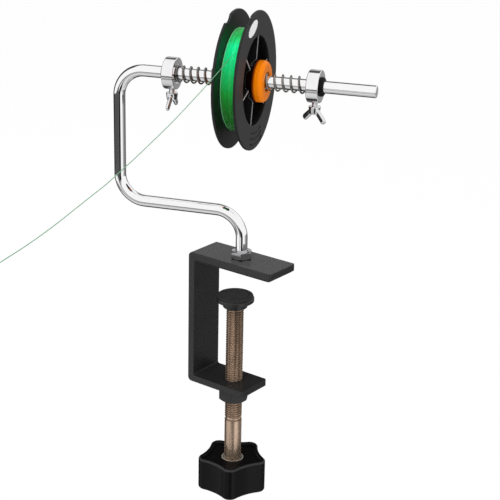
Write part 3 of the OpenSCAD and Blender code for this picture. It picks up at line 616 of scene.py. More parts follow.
def moulded_with_painted_shade(name):
    """Black plastic, with painted shade that darkens its grooves, window, the flanges' inner faces and rim,
    and a painted highlight on the ribs' crests.
    """
    n = surface(name, (1, 1, 1), (0.38, 0.50), scale=50, grain=1500, relief=0.25, shine=0.3)
    off = n.off_spindle()
    out = n.out(off)
    reach = n.length(off)
    radius = n.maths("SQRT", n.maths("SUBTRACT", n.times(reach, reach), n.times(out, out)))
    face = HALF_WIDTH * MM

    def ring(low_out, high_out, low_radius, high_radius):
        return n.times(n.between(out, low_out, high_out),
                       n.between(radius, low_radius, high_radius))

    # Painted shade: the window, the flanges' inner faces, the grooves and the rim are drawn darker
    window = ring(0, face - 0.0003, 0, (WINDOW_RADIUS + 0.2) * MM)
    inner = ring(0, (GROOVE_HALF + 0.2) * MM, DRUM_RADIUS * MM, 1)
    groove = ring(face - 0.0011, face - 0.00018, (DRUM_RADIUS + 0.6) * MM, (FLANGE_RADIUS - 1.6) * MM)
    rim = n.span(radius, 0, 1, (FLANGE_RADIUS - 0.35) * MM, (FLANGE_RADIUS - 0.15) * MM)
    tone = (0.0235, 0.023, 0.0245)
    for share, grey in ((window, 0.007), (inner, 0.010), (groove, 0.003), (rim, 0.008)):
        tone = n.mix(share, tone, (grey, grey, grey))
    # Height of the ribs' crests, which fall towards the hub
    crest = n.span(radius, RIB_FOOT * MM, RIB_EDGE * MM, HUB_RADIUS * MM, RIB_FALL * MM)
    # Painted highlight: the ribs' crests are drawn light
    painted_highlight = n.times(n.span(n.maths("SUBTRACT", out, crest), 0, 1, -0.0003, -0.0001),
                   n.between(radius, (HUB_RADIUS + 0.4) * MM, (WINDOW_RADIUS - 0.1) * MM))
    n.colour(n.mix(n.times(painted_highlight, 0.8), tone, (0.45, 0.45, 0.46)))


def nylon(name):
    """Green line: a painted highlight makes it light and bluish on top of the winding, painted shade makes it
    deeper below, and it is pale where it runs free.
    """
    n = surface(name, (1, 1, 1), (0.16, 0.26), variation=0.10, scale=500, grain=2500, shine=0.4)
    off = n.off_spindle()
    level = n.span(n.vector("DOT_PRODUCT", off, (0, 0, 1)), 0, 1, -0.036, 0.036)
    # A little unevenness, so that the tones don't follow straight lines
    level = n.maths("ADD", level, n.span(n.noise(90, 2), -0.03, 0.03))
    # Painted highlight on top and painted shade below, by height over the spindle
    green_with_painted_light = n.ramp(level, [
        (0.04, (0.012, 0.16, 0.018)), (0.29, (0.014, 0.26, 0.024)), (0.50, (0.016, 0.46, 0.060)),
        (0.62, (0.013, 0.66, 0.17)), (0.74, (0.010, 0.86, 0.29)), (0.86, (0.010, 1.0, 0.40)),
        (0.93, (0.020, 0.72, 0.17)), (0.98, (0.04, 0.42, 0.05))])
    # Painted highlight: the turns against the flanges are drawn lighter
    out = n.out(off)
    last = (GROOVE_HALF - 0.2) * MM
    edge = n.times(n.span(out, 0, 1, last - 0.0009, last - 0.0005), 0.75)
    green_with_painted_light = n.mix(edge, green_with_painted_light, (0.30, 0.95, 0.45))
    # It pales over a few millimetres as it leaves the winding
    free = n.span(n.length(off), 0, 1, 0.036, 0.042)
    n.colour(n.mix(free, green_with_painted_light, (0.14, 0.34, 0.19)))


make_materials()

# Free line


def smooth_route(points, substeps):
    """Points on a smooth curve through the route's points, as in the part's source."""
    pts = [Vector(p) for p in points]
    ends = [2 * pts[0] - pts[1]] + pts + [2 * pts[-1] - pts[-2]]
    out = []
    for a, b, c, d in zip(ends, ends[1:], ends[2:], ends[3:]):
        out += [(2 * b + (c - a) * t + (2 * a - 5 * b + 4 * c - d) * t * t
                 + (3 * b - a - 3 * c + d) * t ** 3) / 2 for t in (s / substeps for s in range(substeps))]
    return out + pts[-1:]


def make_line():
    path = smooth_route(LEAD_ROUTE, 4)
    curve = bpy.data.curves.new("free_line", "CURVE")
    curve.dimensions, curve.use_fill_caps = "3D", True
    curve.bevel_depth, curve.bevel_resolution = LINE / 2 * MM, 4
    spline = curve.splines.new("POLY")
    spline.points.add(len(path) - 1)
    for point, place in zip(spline.points, path):
        point.co = (*(place * MM), 1)
    obj = add_object("free_line", curve)
    curve.materials.append(MATERIALS["line_nylon"])
    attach(obj, "arm")
    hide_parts("line_lead")

    # Loop closed by a knot of wraps round its two strands
    end = Vector(LEAD_ROUTE[-1])
    along = (path[-1] - path[-2]).normalized()
    flat = along.cross(UP).normalized()
    lift = flat.cross(along)
    centre = end + along * LOOP_RADIUS
    ring = [centre + LOOP_RADIUS * (flat * y - along * x) for x, y in circle(64)]
    wrap = [end + along * KNOT_LENGTH * (s - 0.5)
            + KNOT_RADIUS * (flat * cos(2 * pi * KNOT_WRAPS * s) + lift * sin(2 * pi * KNOT_WRAPS * s))
            for s in shares(KNOT_WRAPS * 24)]
    knot = build("line_loop_knot", [tube(ring, LINE / 2, 10, closed=True), tube(wrap, LINE / 2, 10)])
    finish_piece(knot, "line_nylon", "arm", "line_loop")


make_line()

# Clamp


def round_ends(obj, x_places, radius):
    """Rounds the upright edges of the bar's free ends."""
    with edited(obj.data) as bm:
        upright = [e for e in bm.edges if (e.verts[0].co - e.verts[1].co).xy.length < TINY]
        picked = [e for e in upright if any(abs(e.verts[0].co.x - x * MM) < TINY for x in x_places)]
        bmesh.ops.bevel(bm, geom=picked, offset=radius * MM, segments=6, profile=0.5, affect="EDGES")


def drilled(obj, low, high, radius, chamfer, matrix):
    """Hole along Z with a chamfer at both mouths."""
    over = 1
    wide = radius + chamfer + over
    tool = lathe([(0, low - over), (wide, low - over), (radius, low + chamfer), (radius, high - chamfer),
                  (wide, high + over), (0, high + over)], 64)
    return combine(obj, [build("tool", [tool], matrix)])


def hexagon(flats, radius):
    """Corners for rounded(), from the width over flats."""
    return [(*polar(flats / 2 / cos(radians(30)), radians(60 * i)), radius) for i in range(6)]


def make_clamp():
    lower_end, jaw_end = SPINE_BACK + LOWER_ARM_LENGTH, SPINE_BACK + JAW_LENGTH
    side = rounded([
        (SPINE_BACK, LOWER_ARM_BOTTOM, BAR_OUTSIDE_RADIUS), (lower_end, LOWER_ARM_BOTTOM, 0),
        (lower_end, -MOUTH_HEIGHT, 0), (SPINE_FRONT, -MOUTH_HEIGHT, BAR_INSIDE_RADIUS),
        (SPINE_FRONT, JAW_PAD, BAR_INSIDE_RADIUS), (jaw_end, JAW_PAD, 0), (jaw_end, JAW_TOP, 0),
        (SPINE_BACK, JAW_TOP, BAR_OUTSIDE_RADIUS)], 8)
    obj = build("clamp_bar", [slab(side, BAR_WIDTH / 2)])
    round_ends(obj, (jaw_end, lower_end), BAR_CORNER_RADIUS)
    bevel(obj, BAR_EDGE)
    drilled(obj, JAW_PAD, JAW_TOP, BORE, HOLE_CHAMFER, moved())
    drilled(obj, LOWER_ARM_BOTTOM, -MOUTH_HEIGHT, SCREW_BORE, HOLE_CHAMFER, SCREW)
    finish_piece(obj, "clamp_coat", "clamp", "clamp_frame")

    low_x, high_x = SPINE_FRONT + BAR_INSIDE_RADIUS, jaw_end - BAR_CORNER_RADIUS
    reach_y = (BAR_WIDTH - BAR_CORNER_RADIUS) / 2
    sheet = rounded([(low_x, -reach_y, 0.3), (high_x, -reach_y, BAR_CORNER_RADIUS),
                     (high_x, reach_y, BAR_CORNER_RADIUS), (low_x, reach_y, 0.3)], 6)
    pad = build("jaw_rubber", [edged(sheet, 0, JAW_PAD, 0.2, 3)])
    finish_piece(pad, "pad_rubber", "clamp", "jaw_pad")


def hex_nut(name, flats, height, bore, matrix):
    """Nut with turned bevels on its corners, rounded edges and a beveled bore."""
    nut = build(name, [straight(rounded(hexagon(flats, 0.25), 3), 0, height)], matrix)
    face, reach, rise = flats / 2 - 0.2, flats / 2 / cos(radians(30)) + 0.02, height * 0.14
    outer = lathe([(0, 0), (face, 0), (reach, rise), (reach, height - rise), (face, height), (0, height)])
    combine(nut, [build("tool", [outer], matrix)], "INTERSECT")
    return drilled(nut, 0, height, bore, 0.5, matrix)


def make_screw_nut():
    place = moved(SCREW_X, 0, LOWER_ARM_BOTTOM - SCREW_NUT_HEIGHT)
    nut = hex_nut("screw_nut_hex", SCREW_NUT_FLATS, SCREW_NUT_HEIGHT, SCREW_BORE, place)
    # Weld bead round the nut's upper edge, in overlapping ripples
    outline = [Vector(p) for p in rounded(hexagon(SCREW_NUT_FLATS, 2.5), 6)]
    path, lengths = [], [0.0]
    for a, b in zip(outline, outline[1:] + outline[:1]):
        steps = max(1, ceil((b - a).length / 0.35))
        path += [a + (b - a) * s / steps for s in range(steps)]
    for a, b in zip(path, path[1:]):
        lengths.append(lengths[-1] + (b - a).length)
    bead = [(SCREW_X + p.x, p.y, LOWER_ARM_BOTTOM - 0.3) for p in path]
    radii = [1.15 + 0.16 * abs(sin(s * 1.9)) + 0.08 * sin(s * 0.43) for s in lengths]
    weld = build("nut_weld", [tube(bead, radii, 14, closed=True)])
    finish_piece(weld, "clamp_coat", "clamp")
    finish_piece(nut, "clamp_coat", "clamp", "screw_nut")


make_clamp()
make_screw_nut()

# Clamp screw


def thread(top, bottom, root, crest, pitch, start_rows, end_rows, around=72, samples=8):
    """Screw surface: turned rows, a true helix of thread, then turned rows, as one closed mesh."""
    verts, faces, grid = [], [], {}
    run_out = pitch * 0.9
    last = (ceil((top - bottom) / pitch) + 1) * samples
    skin(faces, [turned_row(verts, r, z, around) for r, z in start_rows])
    for k in range(last + 1):
        phase = (k / samples) % 1.0
        # Share of the thread's depth over one pitch: flat root, flank, flat crest, flank
        depth = min(1.0, max(0.0, (0.5 - abs(phase - 0.5)) * 2 * 1.25 - 0.15))
        for j in range(around):
            z = min(top, max(bottom, top + pitch - pitch * (k / samples + j / around)))
            fade = min(1.0, max(0.0, (top - z) / run_out), max(0.0, (z - bottom) / run_out))
            grid[k, j] = len(verts)
            verts.append((*polar(root + (crest - root) * depth * fade, -2 * pi * j / around), z))
    for k in range(last):
        for j in range(around):
            # Past the seam the helix goes on in the first column, one turn further
            row, column = (k, j + 1) if j < around - 1 else (k + samples, 0)
            if row < last:
                faces.append((grid[k, j], grid[row, column], grid[row + 1, column], grid[k + 1, j]))
    skin(faces, [turned_row(verts, r, z, around) for r, z in end_rows])
    return verts, faces


def make_screw():
    root = SCREW_RADIUS - THREAD_DEPTH
    low = SCREW_TOP - (SCREW_LENGTH - SHANK_LENGTH) // PITCH * PITCH
    start = [(0, SWAGE_TOP), (SWAGE_HEAD - 0.3, SWAGE_TOP), (SWAGE_HEAD, SWAGE_TOP - 0.3),
             (SWAGE_HEAD, SWAGE_LOW + 0.2), (SWAGE_HEAD - 0.2, SWAGE_LOW), (SWAGE_NECK, SWAGE_LOW),
             (SWAGE_NECK, SCREW_TOP), (root, SCREW_TOP)]
    end = [(root, low), (SCREW_RADIUS, low - THREAD_DEPTH), (SCREW_RADIUS, KNOB_TOP + 0.4),
           (SCREW_RADIUS - 0.1, KNOB_TOP - 0.6), (SCREW_RADIUS - 0.5, KNOB_TOP - 1.4),
           (SCREW_RADIUS - 0.5, SHANK_END), (0, SHANK_END)]
    rod = thread(SCREW_TOP, low, root, SCREW_RADIUS, PITCH, start, end)
    finish_piece(build("screw_thread", [rod], SCREW, sharp=40), "screw_zinc", "screw", "clamp_screw")


def make_plate():
    neck, head = SWAGE_NECK + CLEARANCE, SWAGE_HEAD + CLEARANCE
    low, top, step = SWAGE_LOW - FACE_GAP, SWAGE_TOP + FACE_GAP, PLATE_TOP - PLATE_DISC
    profile = rounded([
        (0, PLATE_TOP, 0), (PLATE_RADIUS, PLATE_TOP, 0.8), (PLATE_RADIUS, step, 0.5),
        (SOCKET_RADIUS, step, 0.8), (SOCKET_RADIUS, PLATE_BOTTOM, 0.9), (neck, PLATE_BOTTOM, 0),
        (neck, low, 0), (head, low, 0), (head, top, 0), (0, top, 0)])
    finish_piece(build("plate_disc", [lathe(profile)], SCREW), "clamp_coat", "pad", "pressure_plate")
    radius = PLATE_RADIUS - PLATE_DISC / 4
    # The rubber has a round groove near its rim
    rubber = rounded([(0, PLATE_TOP, 0), (radius, PLATE_TOP, 0.2), (radius, -BOARD, 0.35),
                      (radius - 2.2, -BOARD, 0), (radius - 2.6, -BOARD - 0.35, 0),
                      (radius - 3.0, -BOARD, 0), (0, -BOARD, 0)])
    finish_piece(build("plate_rubber", [lathe(rubber)], SCREW), "pad_rubber", "pad", "plate_pad")


def star_outline(steps=20):
    """Outline of round lobes joined by round hollows that meet them smoothly."""
    place, half = KNOB_RADIUS - LOBE_RADIUS, pi / LOBES
    hollow = ((VALLEY_RADIUS ** 2 + place ** 2 - 2 * VALLEY_RADIUS * place * cos(half) - LOBE_RADIUS ** 2)
              / (2 * (place * cos(half) + LOBE_RADIUS - VALLEY_RADIUS)))
    hollow_place = VALLEY_RADIUS + hollow
    lobe_open = pi - atan2(hollow_place * sin(half), place - hollow_place * cos(half))
    spread = [s / steps for s in range(-steps, steps + 1)]
    out = []
    for i in range(LOBES):
        out_to, in_to = 2 * i * half, (2 * i + 1) * half
        out += arc(*polar(place, out_to), LOBE_RADIUS, [out_to + s * lobe_open for s in spread])
        out += arc(*polar(hollow_place, in_to), -hollow,
                   [in_to + s * (half - lobe_open) for s in spread[1:-1]])
    return out


def make_knob():
    place = SCREW @ turned(KNOB_TURN)
    star = star_outline()
    knob = build("knob_star", [edged(star, KNOB_BOTTOM, KNOB_TOP, KNOB_EDGE, 8)], place)
    # Seat of the insert, a hollow in the underside, and the top's shallow recess inside its rim
    over = KNOB_TOP + 1
    seat = lathe(rounded([(0, INSERT_FOOT, 0), (INSERT_RADIUS, INSERT_FOOT, 0),
                          (INSERT_RADIUS, KNOB_TOP - 0.5, 0), (INSERT_RADIUS + 1.5, over, 0), (0, over, 0)]))
    under = lathe(rounded([(0, KNOB_BOTTOM - 1, 0), (10.6, KNOB_BOTTOM - 1, 0), (10, KNOB_BOTTOM + 2.5, 0.8),
                           (0, KNOB_BOTTOM + 2.5, 0)]))
    recess = straight(inset(star, RECESS_RIM), KNOB_TOP - RECESS_DEPTH, over)
    combine(knob, [build("tool", [seat], SCREW), build("tool", [under], SCREW),
                   build("tool", [recess], place)])
    finish_piece(knob, "knob_plastic", "screw", "knob")

    gap = 0.02
    inner, outer, lip = SCREW_RADIUS - 0.5, INSERT_RADIUS - gap, INSERT_RADIUS - 1.1
    rim, foot, top = KNOB_TOP - INSERT_SINK, INSERT_FOOT + gap, SHANK_END - gap
    ledge = rim - 1.5
    insert = lathe(rounded([(0, foot, 0), (outer, foot, 0), (outer, rim, 0.55), (lip, rim, 0.3),
                            (lip, ledge, 0), (inner, ledge, 0), (inner, top, 0), (0, top, 0)]))
    finish_piece(build("knob_bushing", [insert], SCREW), "insert_metal", "screw", "knob_insert")


make_screw()
make_plate()
make_knob()

# Arm


def bend(x, y, start, end):
    """Points of one of the rod's bends between its two ends, which are left out."""
    return arc(x, y, BEND_RADIUS, [radians(start + (end - start) * s) for s in shares(28)[1:-1]])


def make_arm():
    r = BEND_RADIUS
    nose = [(REACH - depth, ROD_RADIUS - rise) for depth, rise in quarter_round(ROD_BEVEL)]
    flat = [(0, JAW_PAD), (0, JAW_PAD + 0.5),
            (0, LOWER_RUN_Z - r), *bend(-r, LOWER_RUN_Z - r, 0, 90), (-r, LOWER_RUN_Z),
            (r - REACH, LOWER_RUN_Z), *bend(r - REACH, LOWER_RUN_Z + r, -90, -180), (-REACH, LOWER_RUN_Z + r),
            (-REACH, SPINDLE_Z - r), *bend(r - REACH, SPINDLE_Z - r, 180, 90), (r - REACH, SPINDLE_Z),
            *((x, SPINDLE_Z) for x, _ in nose)]
    radii = [ROD_RADIUS - 0.4] + [ROD_RADIUS] * (len(flat) - 1 - len(nose)) + [radius for _, radius in nose]
    rod = build("arm_bent_rod", [tube([(x, 0, z) for x, z in flat], radii, 64)], ARM)
    finish_piece(rod, "rod_chrome", "arm", "arm_rod")

    place = moved(0, 0, JAW_TOP + FACE_GAP) @ turned(LOCK_NUT_TURN)
    nut = hex_nut("foot_nut_hex", LOCK_NUT_FLATS, LOCK_NUT_HEIGHT, BORE, place)
    finish_piece(nut, "nut_metal", "foot_nut", "lock_nut")


make_arm()

# Collars, cones, springs


# From a collar's frame to its wing screw's, whose Z runs out along the hole
OUT_OF_COLLAR = moved(z=COLLAR_WIDTH / 2) @ turned(90, "Y")


def make_collar(name, right, body, node):
    seat, inside = SPRING_DIAMETER / 2 + SPRING_WIRE / 2, COLLAR_WIDTH - COLLAR_SEAT
    profile = rounded([
        (BORE, COLLAR_SEAT, 0), (seat, COLLAR_SEAT, 0.2), (seat, 0, 0.25), (COLLAR_RADIUS, 0, 0.55),
        (COLLAR_RADIUS, COLLAR_WIDTH, 0.55), (BUSHING_RADIUS, COLLAR_WIDTH, 0.2),
        (BUSHING_RADIUS, inside, 0), (BORE, inside, 0)], 4)
    place = at_collar(right)
    obj = build(name, [lathe(profile, 128)], place)
    hole, mouth = WING_SCREW_RADIUS + CLEARANCE, COLLAR_RADIUS + 1
    tool = lathe([(0, 3), (hole, 3), (hole, COLLAR_RADIUS - 0.5), (WING_SCREW_RADIUS + 1.6, mouth),
                  (0, mouth)], 48)
    combine(obj, [build("tool", [tool], place @ OUT_OF_COLLAR)])
    finish_piece(obj, "collar_chrome", body, node)


def make_bushing(name, right, body, node):
    foot, end = COLLAR_WIDTH - COLLAR_SEAT, COLLAR_WIDTH + BUSHING_STAND
    nose = BUSHING_RADIUS - ROD_RADIUS - SPRING_WIRE / 2
    profile = rounded([(BORE, foot, 0), (BUSHING_RADIUS, foot, 0), (BUSHING_RADIUS, end, nose),
                       (BORE, end, 0.25)], 8)
    finish_piece(build(name, [lathe(profile)], at_collar(right)), "bushing_plastic", body, node)


def spring_path(start_place, end_place, turns, start, points=32):
    """Middle line of a spring whose first and last turns lie closer."""
    radius = SPRING_DIAMETER / 2 - SPRING_WIRE / 2
    turns = round(turns * 8) / 8
    pitch = (end_place - start_place - 2 * END_PITCH) / (turns - 2)
    out = []
    for t in (i / points for i in range(int(turns * points) + 1)):
        rise = END_PITCH * (min(t, 1) + max(0, t - turns + 1)) + pitch * max(0, min(t, turns - 1) - 1)
        out.append((*polar(radius, radians(start + 360 * t)), start_place + rise))
    return out


def make_spring(name, right, body, node):
    if right:
        path = spring_path(CONE_SEAT + SPRING_LIFT, RIGHT_PLACE + COLLAR_SEAT - SPRING_LIFT,
                           RIGHT_COILS, RIGHT_START)
    else:
        path = spring_path(-LEFT_PLACE - COLLAR_SEAT + SPRING_LIFT, -CONE_SEAT - SPRING_LIFT,
                           LEFT_COILS, LEFT_START)
    wire = SPRING_WIRE / 2
    radii = [wire * 0.8] + [wire] * (len(path) - 2) + [wire * 0.8]
    obj = build(name, [tube(path, radii, 14)], SPINDLE)
    finish_piece(obj, "spring_steel", body, node)
    # The end in the collar stays, and the cone pushes the other towards it
    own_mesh(obj)


def make_cone(name, right, body, node):
    tip_radius = CONE_STEP_RADIUS - (CONE_STEP - CONE_TIP) * CONE_SLOPE
    profile = rounded([
        (BORE, CONE_TIP, 0), (tip_radius, CONE_TIP, 0.5), (CONE_STEP_RADIUS, CONE_STEP, 0.3),
        (CONE_RADIUS, CONE_STEP, 0.35), (CONE_RADIUS, CONE_FACE, CONE_ROUNDING),
        (CONE_SEAT_RADIUS, CONE_FACE, 0.5), (CONE_SEAT_RADIUS, CONE_SEAT, 0), (BORE, CONE_SEAT, 0)], 8)
    place = SPINDLE if right else SPINDLE @ MIRROR
    finish_piece(build(name, [lathe(profile, 128)], place), "cone_plastic", body, node)


def wing(side):
    """One wing as a rounded bar that swells to a round paddle at its tip."""
    tip_r = WING_WIDTH / 2
    root = (WING_HUB_RADIUS * 0.45, WING_FOOT + WING_HUB_HEIGHT * 0.55)
    run = Vector((WING_SPAN / 2 - tip_r - root[0], WING_FOOT + WING_RISE - tip_r - root[1]))
    along = run.normalized()
    across = Vector((-along.y, along.x))
    rings = []
    for share in shares(22):
        at = (run.length + tip_r * 0.98) * share
        past = max(0.0, (at - run.length) / tip_r)
        cap = sqrt(max(0.0004, 1 - past * past))
        width = tip_r * (0.86 + 0.14 * share) * cap
        thick = WING_THICKNESS / 2 * (1.0 - 0.12 * share) * (0.35 + 0.65 * cap)
        ring = []
        for point in circle(24):
            # A flattened section between an ellipse and a rectangle
            x, y = (copysign(abs(v) ** 0.75, v) for v in point)
            p = Vector(root) + along * at + across * (width * x)
            ring.append((side * p.x, thick * y, p.y))
        rings.append(ring)
    return prism(rings)


def make_wing_screw(name, right, body, node):
    place = at_collar(right) @ OUT_OF_COLLAR @ turned(WING_RIGHT_TURN if right else WING_LEFT_TURN)
    foot, top = WING_FOOT, WING_FOOT + WING_HUB_HEIGHT
    hub = lathe(rounded([(0, foot, 0), (WING_HUB_RADIUS, foot, 0.5), (WING_HUB_RADIUS * 0.85, top, 0.9),
                         (0, top, 0)]), 48)
    head = build(name, [hub, wing(1), wing(-1)], place)
    # The head is cast in one: its parts are melted together and softened
    step = head.modifiers.new("cast", "REMESH")
    step.mode, step.voxel_size = "VOXEL", 0.22 * MM
    step = head.modifiers.new("round", "SMOOTH")
    step.factor, step.iterations = 0.5, 7
    settle(head)
    # The neck and its thread
    tip = ROD_RADIUS + FACE_GAP
    core = WING_SCREW_RADIUS - 0.35
    neck = thread(foot + 0.6, tip + 0.4, core, WING_SCREW_RADIUS, WING_PITCH,
                  [(0, foot + 1.4), (core, foot + 1.4), (core, foot + 0.6)],
                  [(core, tip + 0.4), (core - 0.3, tip), (0, tip)], around=32, samples=6)
    shank = build("tool", [neck], place)
    with edited(head.data) as both:
        both.from_mesh(shank.data)
    bpy.data.objects.remove(shank)
    smooth(head, 45)
    finish_piece(head, "wing_metal", body, node)


for right, end in ((False, "left"), (True, "right")):
    collar_body = f"{end}_collar"
    make_collar(f"{end}_stop_collar", right, collar_body, f"collar_{end}")
    make_bushing(f"{end}_nose_bushing", right, collar_body, f"bushing_{end}")
    make_spring(f"{end}_coil_spring", right, collar_body, f"spring_{end}")
    make_cone(f"{end}_centring_cone", right, f"{end}_cone", f"cone_{end}")
    make_wing_screw(f"{end}_wing_screw", right, f"{end}_wing", f"wing_screw_{end}")

# Spool


def make_spool():
    bevel_radius = FLANGE_BEVEL + 0.15
    # The outline goes up the right half and comes back down the mirrored left half
    half = [(HUB_BORE, HUB_HALF, 0.25), (HUB_RADIUS, HUB_HALF, 0.25), (HUB_RADIUS, WEB / 2, 0.4),
            (WINDOW_RADIUS, WEB / 2, 0.4), (WINDOW_RADIUS, HALF_WIDTH, 0.3),
            (FLANGE_RADIUS, HALF_WIDTH, bevel_radius), (FLANGE_RADIUS, GROOVE_HALF, bevel_radius),
            (DRUM_RADIUS, GROOVE_HALF, 0.3)]
    spool = build("spool_body", [lathe(rounded(mirrored(half), 4), 192)], SPINDLE)

    sink = DRUM_WALL / 2
    rib = mirrored([(HUB_RADIUS - sink, RIB_FOOT - sink), (RIB_FALL, RIB_EDGE),
                    (WINDOW_RADIUS + sink, RIB_EDGE)])
    for i in range(RIBS):
        place = SPINDLE @ from_top(RIB_TURN + i * 360 / RIBS)
        combine(spool, [build("tool", [slab(rib, RIB_THICKNESS / 2)], place)], "UNION")

    # The notches' cutter widens past both faces, so that they get rounded lips
    flat, bend = FLANGE / 2, NOTCH_LIP * 0.3
    cutter = mirrored([(0, -flat - 1), (NOTCH_RADIUS + 1, -flat - 1), (NOTCH_RADIUS + NOTCH_LIP, -flat),
                       (NOTCH_RADIUS + bend, -flat + bend), (NOTCH_RADIUS, -flat + NOTCH_LIP)])
    for turn, low in ((NOTCH_LEFT_TURN, -HALF_WIDTH), (NOTCH_RIGHT_TURN, GROOVE_HALF)):
        place = SPINDLE @ from_top(turn) @ moved(FLANGE_RADIUS - NOTCH_DEPTH + NOTCH_RADIUS)
        combine(spool, [build("tool", [lathe([(r, low + flat + z) for r, z in cutter])], place)])

    # Curved grooves at the flange's foot, with round ends
    for i in range(1, GROOVES + 1):
        radius = DRUM_RADIUS + i * (FLANGE_RADIUS - DRUM_RADIUS) / (GROOVES + 1)
        path = [(*polar(radius, radians(GROOVE_SPREAD * (2 * s - 1))), HALF_WIDTH - 0.1) for s in shares(40)]
        combine(spool, [build("tool", [tube(path, GROOVE_RADIUS, 16)], SPINDLE)])
    finish_piece(spool, "spool_plastic", "reel", "spool_flange_left", "spool_flange_right", "spool_drum",
                 "spool_web", "spool_hub", "spool_ribs")


def make_label():
    """Bare oval label with a soft rim, laid on the flange."""
    outline = [(LABEL_HEIGHT / 2 * x, LABEL_LENGTH / 2 * y) for x, y in circle(72)]
    place = (SPINDLE @ from_top(LABEL_TURN) @ moved((FLANGE_RADIUS + WINDOW_RADIUS) / 2, 0, HALF_WIDTH)
             @ turned(-LABEL_TILT))
    label = build("oval_label", [edged(outline, 0, LABEL_THICKNESS, 0.1, 3)], place)
    finish_piece(label, "label_paper", "reel", "spool_label")


def make_winding():
    """Core of line with a closely laid outer layer."""
    half, inner = GROOVE_HALF - 0.06, DRUM_RADIUS + 0.02
    core = lathe(rounded([(inner, -half, 0), (WOUND_RADIUS, -half, 0.2), (WOUND_RADIUS, half, 0.2),
                          (inner, half, 0)], 3), 160)
    finish_piece(build("wound_core", [core], SPINDLE), "line_nylon", "reel", "line_core")
    points = 120
    reach = GROOVE_HALF - LINE / 2 - 0.05
    radius = WOUND_RADIUS + LINE / 2 + 0.1
    path = []
    for t in (i / points for i in range(WOUND_TURNS * points + 1)):
        a = 2 * pi * t
        wander = 0.02 * sin(1.7 * a + 0.6 * t) + 0.015 * sin(0.37 * a)
        lift = 0.04 * (0.5 + 0.5 * sin(0.61 * a + 1.3 * t)) + 0.03 * sin(2.3 * t) ** 2
        path.append((*polar(radius + lift, a), reach * (2 * t / WOUND_TURNS - 1) + wander))
    finish_piece(build("wound_turns", [tube(path, LINE / 2, 8)], SPINDLE), "line_nylon", "reel", "line_turns")


make_spool()
make_label()
make_winding()

# Floor, light and world


FLOOR_HALF, FLOOR_Z = 12, (KNOB_BOTTOM - SCREW_DROP) * MM
FLAG_HALF, FLAG_MIDDLE, FLAG_Z = 0.6, (-0.3, 0.3), -0.026


def stage_sheet(name, material, half, middle, z):
    """Level square sheet in metres, with the nodes of its own material."""
    x, y = middle
    mesh = bpy.data.meshes.new(name)
    mesh.from_pydata([(x - half, y - half, z), (x + half, y - half, z), (x + half, y + half, z),
                      (x - half, y + half, z)], [], [(0, 1, 2, 3)])
    obj = add_object(name, mesh)
    n = Nodes(bpy.data.materials.new(material))
    mesh.materials.append(n.owner)
    return obj, n


def two_sided(n, top, underside):
    """Gives a sheet one shader from above and another from below."""
    both = n.blend(n.add("NewGeometry").outputs["Backfacing"], top, underside)
    n.fill(n.tree.nodes["Material Output"], {"Surface": both.outputs[0]})


def make_floor():
    """Pale floor, clear from below, so that it doesn't hide the underside."""
    floor, n = stage_sheet("floor", "floor_pale", FLOOR_HALF, (0, 0), FLOOR_Z)
    pale = n.fill(n.tree.nodes["Principled BSDF"],
                  {"Base Color": (0.86, 0.86, 0.86), "Roughness": 0.9, "Specular IOR Level": 0.1})
    seen = n.times(n.add("LightPath").outputs["Is Camera Ray"], 0.95)
    two_sided(n, n.blend(seen, pale, n.add("Emission", {"Strength": 1.0})), n.add("BsdfTransparent"))
    floor.visible_glossy = False


def make_flag():
    """Dark reflection card over the knob, seen only from below and only in reflections."""
    flag, n = stage_sheet("flag", "flag_dark", FLAG_HALF, FLAG_MIDDLE, FLAG_Z)
    n.tree.nodes.remove(n.tree.nodes["Principled BSDF"])
    two_sided(n, n.add("BsdfTransparent"), n.add("Emission", {"Color": (0.03, 0.022, 0.016)}))
    for kind in ("camera", "diffuse", "transmission", "volume_scatter", "shadow"):
        setattr(flag, f"visible_{kind}", False)


def area_light(name, place, aim, size, power):
    data = bpy.data.lights.new(name, "AREA")
    data.shape, data.size, data.energy = "DISK", size, power
    light = add_object(name, data)
    light.location = place
    light.rotation_euler = (Vector(aim) - Vector(place)).to_track_quat("-Z", "Y").to_euler()
    light.visible_glossy = False


# What reflections see of the room, from straight down to straight up: height in degrees, grey
ROOM = ((-90, 0.40), (-75, 0.50), (-60, 0.70), (-42, 0.74), (-31, 0.66), (-26, 0.90), (-20, 1.0), (90, 1.0))
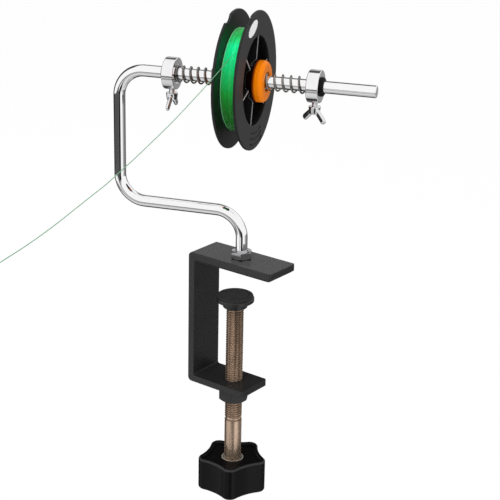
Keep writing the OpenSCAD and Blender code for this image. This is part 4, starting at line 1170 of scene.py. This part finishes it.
# Dark cards round the set, which draw the dark rims and lines on the round bars. In degrees, left positive:
# azimuth from, to, softness; height from, to, softness; then the depth of the dark
CARDS_BEHIND = (
    (-22, 14, 4, -76, 13, 3, 0.95), (-22, 14, 4, 24, 60, 3, 0.92), (14, 72, 4, -76, 50, 4, 0.95),
    (-62, -22, 4, -60, 8, 5, 0.66))
CARDS_BEFORE = (
    (14, 128, 3, -18.4, -11.5, 0.6, 0.92), (14, 128, 4, -37, -26, 2, 0.55), (27, 41, 2, -24, -18.4, 0.6, 0.6),
    (-20, 14, 2.5, -37, -6, 2, 0.985), (-138, -62, 9, -35, -9, 2, 0.60), (-138, -90, 9, -35, -9, 2, 0.50))


def make_world():
    """White studio. What reflections see has darker bands, as round a product table."""
    world = bpy.data.worlds.new("studio")
    bpy.context.scene.world = world
    n = Nodes(world)
    n.tree.nodes.clear()
    maths, times = n.maths, n.times
    x, y, z = n.add("SeparateXYZ", {0: n.add("TexCoord").outputs["Generated"]}).outputs
    height = times(maths("ARCSINE", z), 180 / pi)
    # Azimuths from straight behind the object and from straight before it
    look = atan2(CAMERA_FORWARD.y, CAMERA_FORWARD.x)
    ahead = maths("ADD", times(x, cos(look)), times(y, sin(look)))
    left = maths("ADD", times(x, -sin(look)), times(y, cos(look)))
    behind = times(maths("ARCTAN2", left, ahead), 180 / pi)
    before = times(maths("ARCTAN2", left, times(ahead, -1)), 180 / pi)

    room = n.ramp(maths("MULTIPLY_ADD", height, 1 / 180, 0.5),
                  [(angle / 180 + 0.5, (grey, grey, grey)) for angle, grey in ROOM])
    keep = None
    for turn, cards in ((behind, CARDS_BEHIND), (before, CARDS_BEFORE)):
        for start, end, soft, low, high, soft_height, depth in cards:
            card = times(n.between(turn, start, end, soft, "SMOOTHSTEP"),
                         n.between(height, low, high, soft_height, "SMOOTHSTEP"))
            passed = maths("MULTIPLY_ADD", card, -depth, 1)
            keep = passed if keep is None else times(keep, passed)

    mirror = n.add("Background", {"Color": n.mix(1, room, keep, "MULTIPLY")})
    soft = n.add("Background", {"Color": (1, 1, 1), "Strength": 0.82})
    white = n.add("Background", {"Color": (1, 1, 1)})
    rays = n.add("LightPath").outputs
    seen = maths("MAXIMUM", rays["Is Camera Ray"], rays["Is Transmission Ray"])
    whole = n.blend(seen, n.blend(rays["Is Glossy Ray"], soft, mirror), white)
    n.add("OutputWorld", {"Surface": whole.outputs[0]})


make_floor()
make_flag()
make_world()
area_light("key", (0.15, -0.75, 1.0), (0, 0, 0.05), 0.9, 9)
area_light("fill", (-0.9, 0.3, 0.7), (0, 0, 0.05), 0.9, 4)
bpy.context.scene.view_settings.view_transform = "Standard"
